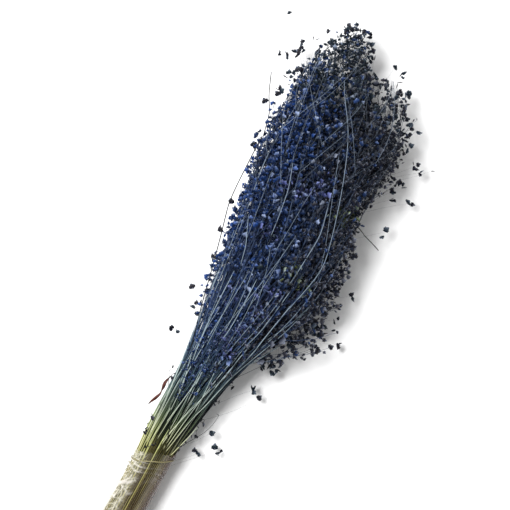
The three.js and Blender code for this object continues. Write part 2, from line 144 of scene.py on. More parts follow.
# Small dark bits that cling to the neck, to the side and along: at its right edge and in the middle, and then
# at its left edge. Millimetres.
NECK_BITS = [
    (22.5, 121), (24, 123), (24, 131), (23, 134), (26.5, 141), (28, 147), (31, 158), (33, 161), (36, 184),
    (35, 187), (41, 208), (0.5, 126), (1.5, 128),
    (-14.6, 131.2), (-15.2, 134.6), (-15.0, 138.1), (-14.6, 141.5), (-14.6, 146.4), (-14.3, 150.5),
    (-6.5, 121.9), (-4.5, 122.9), (-13.0, 188), (-14.6, 191), (-12.0, 195), (-13.5, 200),
]

# Single stems that lie on top of the bunch or stray from it, pale ones and dark ones, by points to the side
# and along. Millimetres.
PALE_STEMS = [
    [(16.7, 501.7), (21.7, 490), (26.7, 480), (36.7, 466.7), (43.3, 451.7), (48.3, 436.7), (56.7, 413.3),
     (63.3, 383.3), (69.2, 356.7), (72.5, 340), (69.2, 328.3), (65, 311.7), (61.7, 301.7), (57, 285)],
    [(53.5, 308), (50, 290), (46.5, 272), (43.5, 260), (36.7, 241.7), (33, 222)],
    [(60, 298), (53.3, 271.7), (50, 258), (46.7, 241.7), (40, 222)],
    [(42.5, 251.7), (36.7, 230), (33.3, 213), (28, 196)],
    [(21.7, 305), (20, 270), (18.3, 251.7), (15, 236)],
    [(0, 303), (-1.7, 260), (-0.8, 223), (1, 200)],
    [(5, 250), (1.7, 213), (0, 200), (0.5, 180)],
    [(-7, 240), (-2.5, 213), (1.7, 188), (1, 160)],
    [(14, 206), (10, 190), (5, 165), (2, 150)],
    [(30, 206), (25, 193), (15, 163), (10, 146.7), (5, 121.7)],
    [(22, 190), (18.3, 176.7), (11.7, 153), (5, 130)],
    [(38, 212), (35, 201.7), (28.3, 180), (21.7, 163), (16.7, 141.7), (12.5, 123)],
    [(30, 158), (26.7, 146.7), (18.3, 123)],
    [(0, 165), (-0.8, 153), (-4.2, 125)],
    [(-9.5, 225), (-8.3, 203), (-6.7, 163), (-7, 135)],
    [(70, 263), (55, 240), (48, 230)],
    [(4.2, 421.7), (13.3, 390), (15.8, 363), (16.7, 345)],
    [(-10, 355), (0, 328), (3, 310)],
    [(50, 400), (56.7, 365), (52.5, 330), (50, 312)],
]
DARK_STEMS = [
    [(-29, 425), (-30.5, 400), (-31.7, 361.7), (-29.7, 350), (-26, 333), (-19.5, 296.7), (-13, 255),
     (-6.7, 226.7), (-0.8, 191.7)],
    [(-46.7, 483), (-40, 463), (-31.7, 446.7), (-28, 425)],
    [(112, 375.5), (100, 380), (82, 387)],
    [(3.3, 161.7), (9.2, 138), (12, 122)],
]

# Finer stems on top of the bunch, drawn at random: between which two places along they start, and how many,
# and where the last of them end. Millimetres.
FINE_STEMS = [(118, 175, 24), (170, 270, 46), (270, 470, 58)]
FINE_STEMS_END = 520

# The radius of the stems on top near the neck, and then that of the pale, the dark and the finer ones higher
# up, in metres.
TOP_RADIUS = 0.00040
PALE_RADIUS, DARK_RADIUS, FINE_RADIUS = 0.00036, 0.00048, 0.00020

# How many low sprigs fill the wedge above the neck, and how many branches a sprig and a crown's panicle have.
SPRIGS = 30
SPRIG_BRANCHES, CROWN_BRANCHES = 20, 10

# Hairs beside the neck: points to the side, along and high. Millimetres.
NECK_HAIRS = [
    [(17, 126, 20), (21.7, 131, 22), (29.4, 142.7, 20), (37, 152, 15), (42.4, 164, 14), (43.5, 174.5, 15)],
    [(27, 154, 20), (29, 160.1, 19), (30.9, 165.8, 18), (33.6, 165, 17.5), (33.4, 161.1, 17),
     (31, 162.3, 17)],
    [(24, 146, 20), (28, 150, 18), (31, 155, 17), (31, 151, 16), (33, 149, 15)],
    [(27, 174, 22), (32, 181, 21), (35, 186, 20), (37, 185, 19), (38, 188, 18)],
    [(26, 178, 22), (31, 187, 21), (34, 192, 20)],
    [(33, 196, 24), (38, 203, 22), (43, 206, 20), (45, 203, 19)],
    [(-9, 178, 24), (-13, 186, 25), (-14, 190, 26), (-16, 194, 26), (-14, 197, 27)],
]

# Where violet and mossy spikelets gather, to the side and along. Millimetres.
VIOLET_SPOTS = np.array([
    (5.6, 281), (41.4, 295.5), (33.9, 277), (19, 241), (36.6, 208), (25.1, 391.5), (39.8, 403), (29, 236),
    (8.7, 394), (36, 285), (31.7, 257), (60, 300), (12, 345),
])
MOSS_SPOTS = np.array([(50.8, 323), (60, 316), (76.6, 394), (68, 388)])

# The dry leaf's midrib: along, how far out from the stem it lies and the blade's width, in millimetres, and
# the blade's turn in degrees.
LEAF_RINGS = np.array([
    (192, 0.1, 0.5, 0),
    (188, 1.3, 0.9, 0),
    (184, 1.9, 3.6, 4),
    (180, 1.9, 4.4, 8),
    (176, 2.0, 3.6, 16),
    (172.4, 2.2, 0.8, 25),
    (169, 1.6, 2.6, 34),
    (164, 3.8, 3.6, 42),
    (160, 5.8, 2.4, 52),
    (156, 7.4, 0.4, 60),
])

# The dye's families of colour across the palette, by where each starts and ends, from 0 to 1.
DYES = {
    "royal": (0.02, 0.21),
    "navy": (0.26, 0.43),
    "violet": (0.48, 0.57),
    "charcoal": (0.62, 0.77),
    "black_green": (0.82, 0.89),
    "moss": (0.94, 0.97),
}
SPIKELET_ROW = (0.03, 0.45)  # up the palette, from a spikelet's foot to its tip
STEM_ROW = (0.54, 0.98)  # up the palette, from the cut ends to the tips
BETWEEN_ROWS = 0.5  # up the palette, where its spikelets end and its stems begin
PATCH = 0.02  # how much of the palette's width a single strand or spikelet takes up

# Where strands stand across the palette: bleached stems, dark single ones, the hairs beside the neck, and the
# branches and stalks of the panicles, of which some are pale and the others dark.
BLEACHED, DARK_STEM, DARK_HAIR = 0.97, 0.92, 0.9
PALE_BRANCH, DARK_BRANCH = 0.1, 0.75
PALE_SHARE = 0.4

# A spikelet's scales: how far up the foot stands, the lean to the side in degrees, and the length, width and
# lift.
SCALES = np.array([
    (0.00, 36, 0.84, 0.66, -0.10),
    (0.04, -42, 0.76, 0.62, 0.02),
    (0.20, -4, 0.80, 0.64, 0.14),
])
SPIKELET_THICKNESS = 0.6  # of its width

# A panicle's branches: their rings, their length at the panicle's foot and at its tip, their radius at the
# stem and at their end, and the share of the way along them where the spikelets start. Then the spikelets'
# stalks: their length, and their radius at either end. Metres.
BRANCH_RINGS = 4
BRANCH_LENGTH = (0.032, 0.009)
BRANCH_RADIUS = (0.00028, 0.00014)
SPIKELETS_FROM = 0.42
STALK_LENGTH = 0.0045
STALK_RADIUS = (0.00014, 0.0001)

# The least height above the floor of a branch, of a spikelet's foot and of its corners, in metres.
BRANCH_CLEAR, FOOT_CLEAR, CORNER_CLEAR = 0.0008, 0.0016, 0.0002

# How far off the stems the film lies, where it overlaps itself and elsewhere, and how much further up its end
# reaches on the right than in the middle. The least height of the film and the band above the floor. Half the
# leaf's thickness. Millimetres.
FILM_OFF = (1.55, 0.45)
FILM_SLANT = 5.5
WRAP_CLEAR = 0.02
LEAF_HALF_WALL = 0.12

# What the camera looks at, to the side, along and high, in millimetres, and the width of its sensor.
LOOK_AT = (10.9, 323.9, 30)
SENSOR_WIDTH = 36

# The soft light's way from there, to the picture's right, up the picture and above it, and then its distance
# and width in metres.
LIGHT_RIGHT, LIGHT_UP, LIGHT_ABOVE = -0.57, 0.42, 1.2
LIGHT_DISTANCE = 1.5
LIGHT_WIDTH = 0.8


def srgb(red, green, blue):
    """A colour's linear values from its values on a screen, 0 to 255."""
    values = np.array([red, green, blue]) / 255
    return tuple(np.where(values <= 0.04045, values / 12.92, ((values + 0.055) / 1.055) ** 2.4).tolist())


class GrassProperties(bpy.types.PropertyGroup):
    """Sizes and colours of the stems and panicles."""

    stems: IntProperty(name="Stems", description="Stems in the bunch", default=330, min=28)
    bare_share: FloatProperty(
        name="Bare stems", description="Share of the stems that bear nothing", default=0.5, subtype="FACTOR")
    branches: IntProperty(name="Branches", description="Branches of a panicle", default=22, min=3)
    spikelets: IntProperty(name="Spikelets", description="Spikelets on a branch", default=5, min=1)
    spikelet_length: FloatProperty(
        name="Spikelet length", description="Length of a spikelet", default=0.0048, unit="LENGTH")
    spikelet_width: FloatProperty(
        name="Spikelet width", description="Width of a spikelet", default=0.0046, unit="LENGTH")
    stem_radius: FloatProperty(
        name="Stem radius", description="Radius of a stem at the neck", default=0.00064, unit="LENGTH")
    # The royal blue of the left side is partly dye and partly painted light from the upper left.
    royal: FloatVectorProperty(
        name="Royal", description="Dye of the left side", subtype="COLOR", default=srgb(34, 66, 128))
    navy: FloatVectorProperty(
        name="Navy", description="Dye of the middle", subtype="COLOR", default=srgb(38, 60, 104))
    violet: FloatVectorProperty(
        name="Violet", description="Dye of the brighter clusters", subtype="COLOR", default=srgb(78, 86, 140))
    # The charcoal of the right side is partly dye and partly painted shade.
    charcoal: FloatVectorProperty(
        name="Charcoal", description="Dye of the right side", subtype="COLOR", default=srgb(50, 48, 51))
    black_green: FloatVectorProperty(
        name="Black-green", description="Dye of the tips", subtype="COLOR", default=srgb(38, 48, 52))
    moss: FloatVectorProperty(
        name="Moss", description="Spikelets that took no dye", subtype="COLOR", default=srgb(88, 98, 44))
    # The papery rim: the pale undyed edge of a spikelet, also used as its painted glint.
    glint: FloatVectorProperty(
        name="Papery rim", description="Undyed edge of a spikelet", subtype="COLOR",
        default=srgb(158, 170, 194))


class WrapProperties(bpy.types.PropertyGroup):
    """Sizes and colours of the film, the band and the leaf."""

    film_from: FloatProperty(
        name="Film from", description="Where the film starts, from the cut ends", default=0.010,
        unit="LENGTH")
    film_to: FloatProperty(
        name="Film to", description="Where the film ends, just above the neck", default=0.125,
        unit="LENGTH")
    film_wall: FloatProperty(
        name="Film thickness", description="Thickness of the film", default=0.00012, unit="LENGTH")
    crinkle: FloatProperty(
        name="Crinkle", description="Height of the film's creases", default=0.0012, unit="LENGTH")
    turns: FloatProperty(name="Turns", description="How often the film goes round", default=1.19)
    film_colour: FloatVectorProperty(
        name="Film", description="Tint of the clear film", subtype="COLOR", default=srgb(222, 218, 200))
    band_width: FloatProperty(
        name="Band width", description="Width of the band", default=0.0013, unit="LENGTH")
    band_colour: FloatVectorProperty(
        name="Band", description="Colour of the band", subtype="COLOR", default=srgb(134, 126, 88))
    leaf_colour: FloatVectorProperty(
        name="Leaf", description="Colour of the dry leaf", subtype="COLOR", default=srgb(90, 40, 30))


class StageProperties(bpy.types.PropertyGroup):
    """The floor, the light, the sky and the camera."""

    floor_colour: FloatVectorProperty(
        name="Floor", description="Colour of the floor", subtype="COLOR", default=srgb(250, 250, 250))
    key_power: FloatProperty(
        name="Key light", description="Power of the large soft light", default=36, unit="POWER")
    sky: FloatProperty(name="Sky", description="Strength of the light from all round", default=0.42, min=0)
    lens: FloatProperty(name="Lens", description="Focal length", default=100, subtype="DISTANCE_CAMERA")
    turn: FloatProperty(
        name="Turn", description="How far the bunch is turned in the picture", default=math.radians(25),
        subtype="ANGLE")
    width: FloatProperty(
        name="Width", description="Width of the picture at the bunch", default=0.4692, unit="LENGTH")


def smoothstep(value, low, high):
    """0 below low, 1 above high, and between them 3t^2 - 2t^3 with t the share of the way."""
    share = np.clip((np.asarray(value, float) - low) / (high - low), 0, 1)
    return share * share * (3 - 2 * share)


def lerp(low, high, share):
    """The value a share of the way from low to high."""
    return low + (high - low) * share


def rounded_stations():
    """The stations' straight runs with their corners rounded: each value becomes the mean of the straight
    runs over the millimetres around it. Returns the places along and a row of values for each."""
    window = 17  # millimetres to either side
    along = np.arange(-window, STATIONS[-1, 0] + window + 1.0)
    straight = np.stack([np.interp(along, STATIONS[:, 0], column) for column in STATIONS[:, 1:].T], axis=1)
    kernel = np.ones(2 * window + 1) / (2 * window + 1)
    rounded = np.stack([np.convolve(column, kernel, mode="valid") for column in straight.T], axis=1)
    return along[window:-window], rounded


ROUNDED_ALONG, ROUNDED = rounded_stations()


def section(along):
    """Side, height, half width, half depth and turn of the bunch at places along it, in millimetres."""
    return [np.interp(along, ROUNDED_ALONG, column) for column in ROUNDED.T]


def to_frame(side, along, height):
    """Points in the frame, in metres, from the bunch's own measures in millimetres."""
    return np.stack(np.broadcast_arrays(side + SIDE_SHIFT, along + ALONG_SHIFT, height), axis=-1) * MM


def bunch_measures(points):
    """Side, along and height in the bunch's own measures, in millimetres, of points in the frame."""
    return points[..., 0] / MM - SIDE_SHIFT, points[..., 1] / MM - ALONG_SHIFT, points[..., 2] / MM


def place(spots, along):
    """Points of the unit disc, turned by the section's turn and stretched to its half width and half depth:
    x = side + W (u cos t - v sin t), z = height + D (u sin t + v cos t). Points in the frame, in metres."""
    side, height, half_width, half_depth, turn = section(along)
    cos, sin = np.cos(np.radians(turn)), np.sin(np.radians(turn))
    u, v = spots[..., 0], spots[..., 1]
    x = side + half_width * (u * cos - v * sin)
    z = height + half_depth * (u * sin + v * cos)
    return to_frame(x, along, z)


def sunflower(count):
    """Spots spread evenly over the unit disc: radius sqrt((i + 1/2) / n) at i golden angles."""
    index = np.arange(count)
    radius = np.sqrt((index + 0.5) / count)
    angle = index * GOLDEN_ANGLE
    return np.stack([radius * np.cos(angle), radius * np.sin(angle)], axis=1)


def unit(vectors):
    """Vectors scaled to length 1."""
    return vectors / np.maximum(np.linalg.norm(vectors, axis=-1, keepdims=True), 1e-12)


def across(directions):
    """Two unit vectors at right angles to each direction and to each other: its cross product with +Z, or
    with +X where it is steep, and its cross product with that one."""
    steep = np.abs(directions[..., 2:3]) > 0.8
    reference = np.where(steep, [1.0, 0, 0], [0, 0, 1.0])
    first = unit(np.cross(directions, reference))
    return first, np.cross(directions, first)


class Surface:
    """Vertices, faces, palette places and smoothness of a piece, gathered from arrays."""

    def __init__(self):
        self.vertices, self.palette, self.faces, self.smooth = [], [], [], []
        self.count = 0

    def add(self, vertices, palette, faces, smooth):
        """Adds vertices (n, 3), their palette places (n, 2) and a list of face arrays (m, 3) or (m, 4)."""
        self.vertices.append(vertices)
        self.palette.append(palette)
        for array in faces:
            self.faces.append(array + self.count)
            self.smooth.append(smooth)
        self.count += len(vertices)

    def build(self, name, material):
        """The object with its mesh, palette UV map and material."""
        mesh = bpy.data.meshes.new(name)
        vertices = np.concatenate(self.vertices)
        mesh.vertices.add(len(vertices))
        mesh.vertices.foreach_set("co", vertices.astype(np.float32).ravel())
        loops = np.concatenate([array.ravel() for array in self.faces])
        sizes = np.concatenate([np.full(len(array), array.shape[1]) for array in self.faces])
        smooth = np.concatenate([np.full(len(array), flag) for array, flag in zip(self.faces, self.smooth)])
        mesh.loops.add(len(loops))
        mesh.loops.foreach_set("vertex_index", loops.astype(np.int32))
        mesh.polygons.add(len(sizes))
        mesh.polygons.foreach_set("loop_start", (np.cumsum(sizes) - sizes).astype(np.int32))
        mesh.update(calc_edges=True)
        mesh.polygons.foreach_set("use_smooth", smooth)
        layer = mesh.uv_layers.new(name=UV_NAME)
        layer.uv.foreach_set("vector", np.concatenate(self.palette)[loops].astype(np.float32).ravel())
        mesh.materials.append(material)
        mesh.validate()
        made = bpy.data.objects.new(name, mesh)
        bpy.context.scene.collection.objects.link(made)
        return made


def add_strands(surface, centres, radii, sides, palette_side, palette_along):
    """Closed tubes through centres (n, r, 3) with radii (n, r): each ring's corners stand at
    centre + radius (cos a first + sin a second), with first and second across the strand's direction.
    The palette place is the strand's own across, from palette_side (n), and palette_along (n, r) along."""
    count, rings = centres.shape[:2]
    directions = unit(np.gradient(centres, axis=1))
    first, second = across(directions)
    angle = np.arange(sides) / sides * 2 * math.pi
    spokes = first[:, :, None] * np.cos(angle)[:, None] + second[:, :, None] * np.sin(angle)[:, None]
    corners = centres[:, :, None] + radii[:, :, None, None] * spokes
    patch = PATCH * np.arange(sides) / sides
    u = np.broadcast_to(palette_side[:, None, None] + patch, (count, rings, sides))
    v = np.broadcast_to(palette_along[:, :, None], (count, rings, sides))
    index = np.arange(count * rings * sides).reshape(count, rings, sides)
    following = np.roll(index, -1, axis=2)
    walls = np.stack([index[:, :-1], following[:, :-1], following[:, 1:], index[:, 1:]], axis=-1)
    ends = [index[:, 0, ::-1], index[:, -1]]
    palette = np.stack([u.ravel(), v.ravel()], axis=1)
    surface.add(corners.reshape(-1, 3), palette, [walls.reshape(-1, 4), *ends], True)


def spikelet_shape():
    """A spikelet of unit length, width and thickness, with its length along +Y: pointed scales that overlap
    at their feet and spread to either side like a small fan. Each is a closed kite, leaned about its foot: a
    foot, a left corner, a keel, a right corner, a hollow and a tip. Returns corners (n, 3) and triangles
    (m, 3)."""
    kite = np.array([(0, 0, 0), (-0.5, 0.6, 0), (0, 0.45, 0.34), (0.5, 0.6, 0), (0, 0.5, -0.1), (0, 1, 0.06)])
    around = np.array([1, 2, 3, 4])
    beside = np.roll(around, -1)
    foot = np.stack([beside, around, np.zeros(4, int)], axis=1)
    tip = np.stack([around, beside, np.full(4, 5)], axis=1)
    start, lean, length, width, lift = SCALES.T[..., None]
    lean = np.radians(lean)
    x, y, z = kite[:, 0] * width, kite[:, 1] * length, kite[:, 2] * width
    corners = np.stack([
        x * np.cos(lean) + y * np.sin(lean),
        start + y * np.cos(lean) - x * np.sin(lean),
        z + lift * y,
    ], axis=-1)
    faces = np.concatenate([foot, tip])[None] + len(kite) * np.arange(len(SCALES))[:, None, None]
    return corners.reshape(-1, 3), faces.reshape(-1, 3)


def add_spikelets(surface, feet, directions, sizes, palette_side, properties, random):
    """Copies of the spikelet's shape: corner = foot + size (x W a + y L d + z T b), with d the direction and
    a and b two vectors across it, turned by a random roll. W, L and T each vary by up to 22%."""
    corners, faces = spikelet_shape()
    first, second = across(directions)
    roll = 2 * math.pi * random.random(len(feet))
    cos, sin = np.cos(roll)[:, None], np.sin(roll)[:, None]
    wide, thick = first * cos + second * sin, first * sin - second * cos
    length, width = properties.spikelet_length, properties.spikelet_width
    spread = np.stack([wide * width, directions * length, thick * width * SPIKELET_THICKNESS], axis=1)
    axes = spread * (0.78 + 0.44 * random.random((len(feet), 3, 1))) * sizes[:, None, None]
    vertices = feet[:, None] + np.einsum("kc,ncx->nkx", corners, axes)
    vertices[..., 2] = np.maximum(vertices[..., 2], CORNER_CLEAR)
    u = palette_side[:, None] + PATCH * (corners[:, 0] + 0.5)
    v = np.broadcast_to(lerp(*SPIKELET_ROW, np.clip(corners[:, 1], 0, 1)), u.shape)
    copies = faces[None] + len(corners) * np.arange(len(feet))[:, None, None]
    palette = np.stack([u.ravel(), v.ravel()], axis=1)
    surface.add(vertices.reshape(-1, 3), palette, [copies.reshape(-1, 3)], False)


def gathered(side, along, spots, reach):
    """How close places are to the nearest of some spots: e^-(d / reach)^2."""
    distance = np.hypot(side[:, None] - spots[:, 0], along[:, None] - spots[:, 1]).min(axis=1)
    return np.exp(-(distance / reach) ** 2)


def dye_places(points, random):
    """The palette place of each spikelet by where it stands. Each dye family has a weight there: royal blue
    rises towards the left and into the head, charcoal towards the right and in the upper middle, black-green
    at the tips, violet and moss in clusters, violet on the upper side alone, and navy is nearly everywhere.
    The royal blue at the left is partly painted light and the charcoal at the right partly painted shade.
    The family is drawn by weight. The place in it is drawn too, more often near its dark end, most so in the
    upper head and at the right, where that is painted shade."""
    side, along, height = bunch_measures(points)
    middle, lift, half_width, half_depth, _ = section(along)
    aside = (side - middle) / half_width
    upper = smoothstep(height, lift, lift + 0.6 * half_depth)
    tips = smoothstep(along, 455, 515) * 0.9
    left = smoothstep(-aside, 0, 0.65)
    upper_middle = smoothstep(along, 380, 450) * smoothstep(aside, -0.45, 0.1)
    # Royal blue weighs most at the left, partly as painted light; charcoal at the right, partly as painted
    # shade.
    weights = np.stack([
        left * lerp(0.15, 1.4, smoothstep(along, 200, 290)) * (1 - tips),
        0.6 * (1 - 0.6 * tips) * (1 - 0.8 * smoothstep(aside, 0.5, 0.85)),
        gathered(side, along, VIOLET_SPOTS, 6.5) * 2.6 * upper,
        smoothstep(aside, 0, 0.55) * 1.8 + 0.5 * upper_middle,
        tips * 1.6 + 0.05,
        gathered(side, along, MOSS_SPOTS, 6) * 4,
    ], axis=1)
    share = np.cumsum(weights, axis=1) / weights.sum(axis=1, keepdims=True)
    family = np.minimum((random.random(len(points))[:, None] > share).sum(axis=1), len(DYES) - 1)
    families = np.array(list(DYES.values()))[family]
    darker = lerp(1.75, 3.3, smoothstep(along, 330, 430))
    # Painted shade: the draw leans further to each family's dark end at the right.
    light = random.random(len(points)) ** darker * (1 - 0.25 * smoothstep(aside, 0.2, 0.6))
    return lerp(families[:, 0], families[:, 1], light)


def stem_sides(points, random):
    """The palette place of each stem: near 0 for a pale one and further on for a dark one, the further the
    more it lies to the right, which is painted shade. Pale and bleached ones are drawn most often in the left
    sheaf, which is painted light from the upper left. The many dark ones stand in partly for the shade among
    the stems."""
    side, along, _ = bunch_measures(points)
    middle, _, half_width, _, _ = section(along)
    aside = (side - middle) / half_width
    left = smoothstep(-aside, 0.1, 0.6)
    # Painted light and shade: pale stems are drawn more often at the left, dark ones lie further on at the
    # right.
    pale = random.random(len(points)) < lerp(0.16, 0.6, left)
    vary = random.standard_normal(len(points))
    dyed = np.clip(np.where(pale, 0.15 + 0.1 * vary, 0.8 + 0.04 * vary + 0.1 * aside), 0.02, 0.93)
    return np.where(random.random(len(points)) < lerp(0.06, 0.2, left), BLEACHED, dyed)


def stem_row(points):
    """The palette place along a stem, from the cut ends to the tips."""
    _, along, _ = bunch_measures(points)
    return lerp(*STEM_ROW, np.clip(along / BUNCH_LENGTH, 0, 1))


def stem_plan(properties):
    """For each stem of the bunch: its spot at the neck, its tuft, where it starts, the foot of its panicle
    and its tip, in millimetres, and how it drifts. The tuft is the one whose own spot is nearest. Panicles
    start later at the left, and more of them start low at the right. A bare stem ends inside the bunch."""
    count = properties.stems
    random = np.random.default_rng(BUNCH_SEED)
    spots = sunflower(count) * SPOTS_FILL
    tufts = sunflower(len(TUFT_NAMES))
    owner = np.argmin(np.linalg.norm(spots[:, None] - tufts[None], axis=2), axis=1)
    bare = (np.arange(count) * BARE_STEP) % 1 < properties.bare_share
    stagger = (np.arange(count) * STAGGER_STEP) % 1
    reach = TIP_REACH - TIP_EDGE * spots[:, 0] ** 2 - TIP_DEPTH * spots[:, 1] ** 2
    reach = reach - TIP_LEFT * smoothstep(-spots[:, 0], 0.5, 0.95)
    length = lerp(*PANICLE_LENGTH, random.random(count))
    lowest = HEAD_START - 6 + 16 * smoothstep(-spots[:, 0], 0.3, 0.9)
    early = stagger ** (1 + 0.9 * smoothstep(spots[:, 0], 0.3, 0.8))
    bare_tip = lerp(*BARE_TIPS, random.random(count))
    tip = np.where(bare, bare_tip, lerp(lowest + length, reach, early))
    return {
        "spot": spots,
        "owner": owner,
        "bare": bare,
        "start": CUT_SPREAD * random.random(count),
        "foot": tip - length,
        "tip": tip,
        "pace": 0.012 + 0.014 * random.random((count, 2)),
        "phase": 2 * math.pi * random.random((count, 2)),
        "drift": 0.05 + 0.09 * random.random((count, 1)),
        "shift": 0.17 * random.standard_normal((count, 2)),
        "thin": 0.6 + 0.5 * random.random(count),
        "bush": np.ones(count),
    }


def chosen_stems(plan, chosen):
    """The plan of the chosen stems alone."""
    return {key: values[chosen] for key, values in plan.items()}


def small_plan(aside, upwards, foot, length, bush, random):
    """The same for small panicles, by their spots aside and upwards, where their feet are, how long they all
    are and how bushy each is."""
    count = len(aside)
    stalk = 30  # millimetres of bare stalk below the foot
    return {
        "owner": np.zeros(count, int),
        "spot": np.stack([aside, upwards], axis=1),
        "start": foot - stalk,
        "foot": foot,
        "tip": foot + length,
        "pace": 0.02 + 0.02 * random.random((count, 2)),
        "phase": 2 * math.pi * random.random((count, 2)),
        "drift": np.full((count, 1), 0.06),
        "shift": np.zeros((count, 2)),
        "bush": bush,
    }


def sprig_plan(random):
    """Low sprigs on the upper side, whose short feathery panicles fill the wedge where the stems part into a
    left and a right sheaf. The wedge widens from the neck on."""
    length = 66
    aside = lerp(-0.45, 0.55, (np.arange(SPRIGS) * GOLDEN_ANGLE / 2.3) % 1)
    foot = 152 + 62 * np.abs(aside + 0.12) + 34 * random.random(SPRIGS)
    upwards = 0.93 * np.sqrt(1 - aside ** 2) - 0.12 * random.random(SPRIGS)
    bush = lerp(0.24, 0.44, smoothstep(foot, 155, 195))
    return small_plan(aside, upwards, foot, length, bush, random)


def crown_plan(random):
    """Small panicles that fray the crown and the upper edges, by where they end."""
    length = 40
    side, along = CROWN_TIPS.T
    middle, _, half_width, _, _ = section(along)
    aside = np.clip((side - middle) / half_width, -FURTHEST_OUT, FURTHEST_OUT)
    upwards = 0.5 * np.sqrt(1 - aside ** 2) * random.random(len(side))
    return small_plan(aside, upwards, along - length, length, np.full(len(side), 0.55), random)


def stem_points(plan, along):
    """Points of the stems at places along (n, r): each keeps its spot as far as the neck. From there it moves
    over by its shift and wanders by drift s(a) (sin(a w1 + p1), sin(a w2 + p2)), with a the place along and s
    rising from the neck into the head. Past the furthest place out it is drawn back in."""
    loose = smoothstep(along, NECK + 8, 300)[..., None]
    moved = smoothstep(along, NECK + 2, 250)[..., None]
    wander = np.sin(along[..., None] * plan["pace"][:, None] + plan["phase"][:, None])
    spots = plan["spot"][:, None] + moved * plan["shift"][:, None] + loose * plan["drift"][:, None] * wander
    radius = np.linalg.norm(spots, axis=-1, keepdims=True)
    return place(spots * np.minimum(1, FURTHEST_OUT / radius), along)


def stem_radius(along, foot, tip, neck_radius):
    """A stem's radius: full at the neck, half of it at 300 mm, and tapering to a hair from just below the
    foot of its panicle to its tip."""
    stem = neck_radius * lerp(1, 0.5, smoothstep(along, NECK, 300))
    return stem * lerp(1, 0.2, smoothstep(along, foot - 10, tip)) + 0.00006


def add_branches(surface, plan, per_stem, random):
    """The branches of each stem's panicle. One leaves the stem at a golden angle round it from the one before
    and runs l (s d + 0.3 s^2 (t - d)) from its foot, with t the stem's direction and d a direction that leans
    out from it. They are longer at the lower right and shorter at the left edge. Returns their points
    (n, r, 3), their places across the palette (n) and how much each is at the lower right (stems, per
    stem)."""
    stems = len(plan["owner"])
    order = (np.arange(per_stem) + 0.5) / per_stem
    share = np.broadcast_to(order ** 0.85 * 0.97, (stems, per_stem))
    along = lerp(plan["foot"][:, None], plan["tip"][:, None], share)
    feet = stem_points(plan, along)
    ahead = stem_points(plan, along + 4.0)
    stem_way = unit(ahead - feet).reshape(-1, 3)
    feet = feet.reshape(-1, 3)
    count = len(feet)

    turn = (np.arange(per_stem) * GOLDEN_ANGLE + 2 * math.pi * random.random((stems, 1))).reshape(-1)
    first, second = across(stem_way)
    outwards = first * np.cos(turn)[:, None] + second * np.sin(turn)[:, None]
    lean = np.radians(22 + 30 * random.random(count))[:, None]
    way = stem_way * np.cos(lean) + outwards * np.sin(lean) * (1, 1, 0.75)
    low_right = smoothstep(plan["spot"][:, :1], 0.1, 0.7) * (1 - smoothstep(along, 250, 330))
    left_edge = smoothstep(-plan["spot"][:, :1], 0.3, 0.75) * (1 - smoothstep(along, 370, 405))
    length = lerp(*BRANCH_LENGTH, share) * (1 + 0.75 * low_right) * (1 - 0.75 * left_edge)
    length = length * plan["bush"][:, None]
    length = length.reshape(-1) * (0.55 + 0.8 * random.random(count))

    steps = np.linspace(0, 1, BRANCH_RINGS)[:, None]
    bend = 0.3 * steps ** 2 * (stem_way - way)[:, None]
    branches = feet[:, None] + length[:, None, None] * (steps * way[:, None] + bend)
    branches[..., 2] = np.maximum(branches[..., 2], BRANCH_CLEAR)
    side = np.where(random.random(count) < PALE_SHARE, PALE_BRANCH, DARK_BRANCH)
    radii = np.broadcast_to(np.linspace(*BRANCH_RADIUS, BRANCH_RINGS), branches.shape[:2])
    add_strands(surface, branches, radii, 3, side, stem_row(branches))
    return branches, side, low_right


def add_branch_spikelets(surface, branches, side, large, properties, random):
    """The spikelets of each branch. They stand along its outer part on short stalks to all sides, the last
    one at its end, and nod at random. large is each spikelet's size beside the others."""
    count = len(branches)
    per_branch = properties.spikelets
    steps = np.linspace(SPIKELETS_FROM, 1, per_branch) * (BRANCH_RINGS - 1)
    below = np.minimum(steps.astype(int), BRANCH_RINGS - 2)
    between = (steps - below)[None, :, None]
    roots = lerp(branches[:, below], branches[:, below + 1], between).reshape(-1, 3)
    total = len(roots)

    branch_way = np.repeat(unit(branches[:, -1] - branches[:, 0]), per_branch, axis=0)
    spin = random.random(total) * 2 * math.pi
    first, second = across(branch_way)
    last = np.tile(np.arange(per_branch) == per_branch - 1, count)
    swing = np.where(last, 0.15, 0.75)[:, None] * (0.6 + 0.6 * random.random((total, 1)))
    stalk_way = unit(branch_way + swing * (first * np.cos(spin)[:, None] + second * np.sin(spin)[:, None]))
    stalk = np.where(last, 0, STALK_LENGTH) * (0.6 + 0.8 * random.random(total))
    tips = roots + stalk_way * stalk[:, None]
    tips[:, 2] = np.maximum(tips[:, 2], FOOT_CLEAR)
    ends = np.stack([roots, tips], axis=1)[~last]
    radii = np.broadcast_to(STALK_RADIUS, ends.shape[:2])
    add_strands(surface, ends, radii, 3, np.repeat(side, per_branch)[~last], stem_row(ends))

    nod = unit(stalk_way + 0.5 * random.standard_normal((total, 3)))
    sizes = (0.5 + 0.62 * random.random(total)) * large
    add_spikelets(surface, tips, nod, sizes, dye_places(tips, random), properties, random)


def add_panicles(surface, plan, per_stem, properties, random):
    """Each stem's panicle: its branches and their spikelets, larger at the lower right and smaller on a
    panicle that is less bushy."""
    branches, side, low_right = add_branches(surface, plan, per_stem, random)
    large = np.repeat(1 + 0.2 * low_right, properties.spikelets, axis=1) * plan["bush"][:, None] ** 0.4
    add_branch_spikelets(surface, branches, side, large.reshape(-1), properties, random)


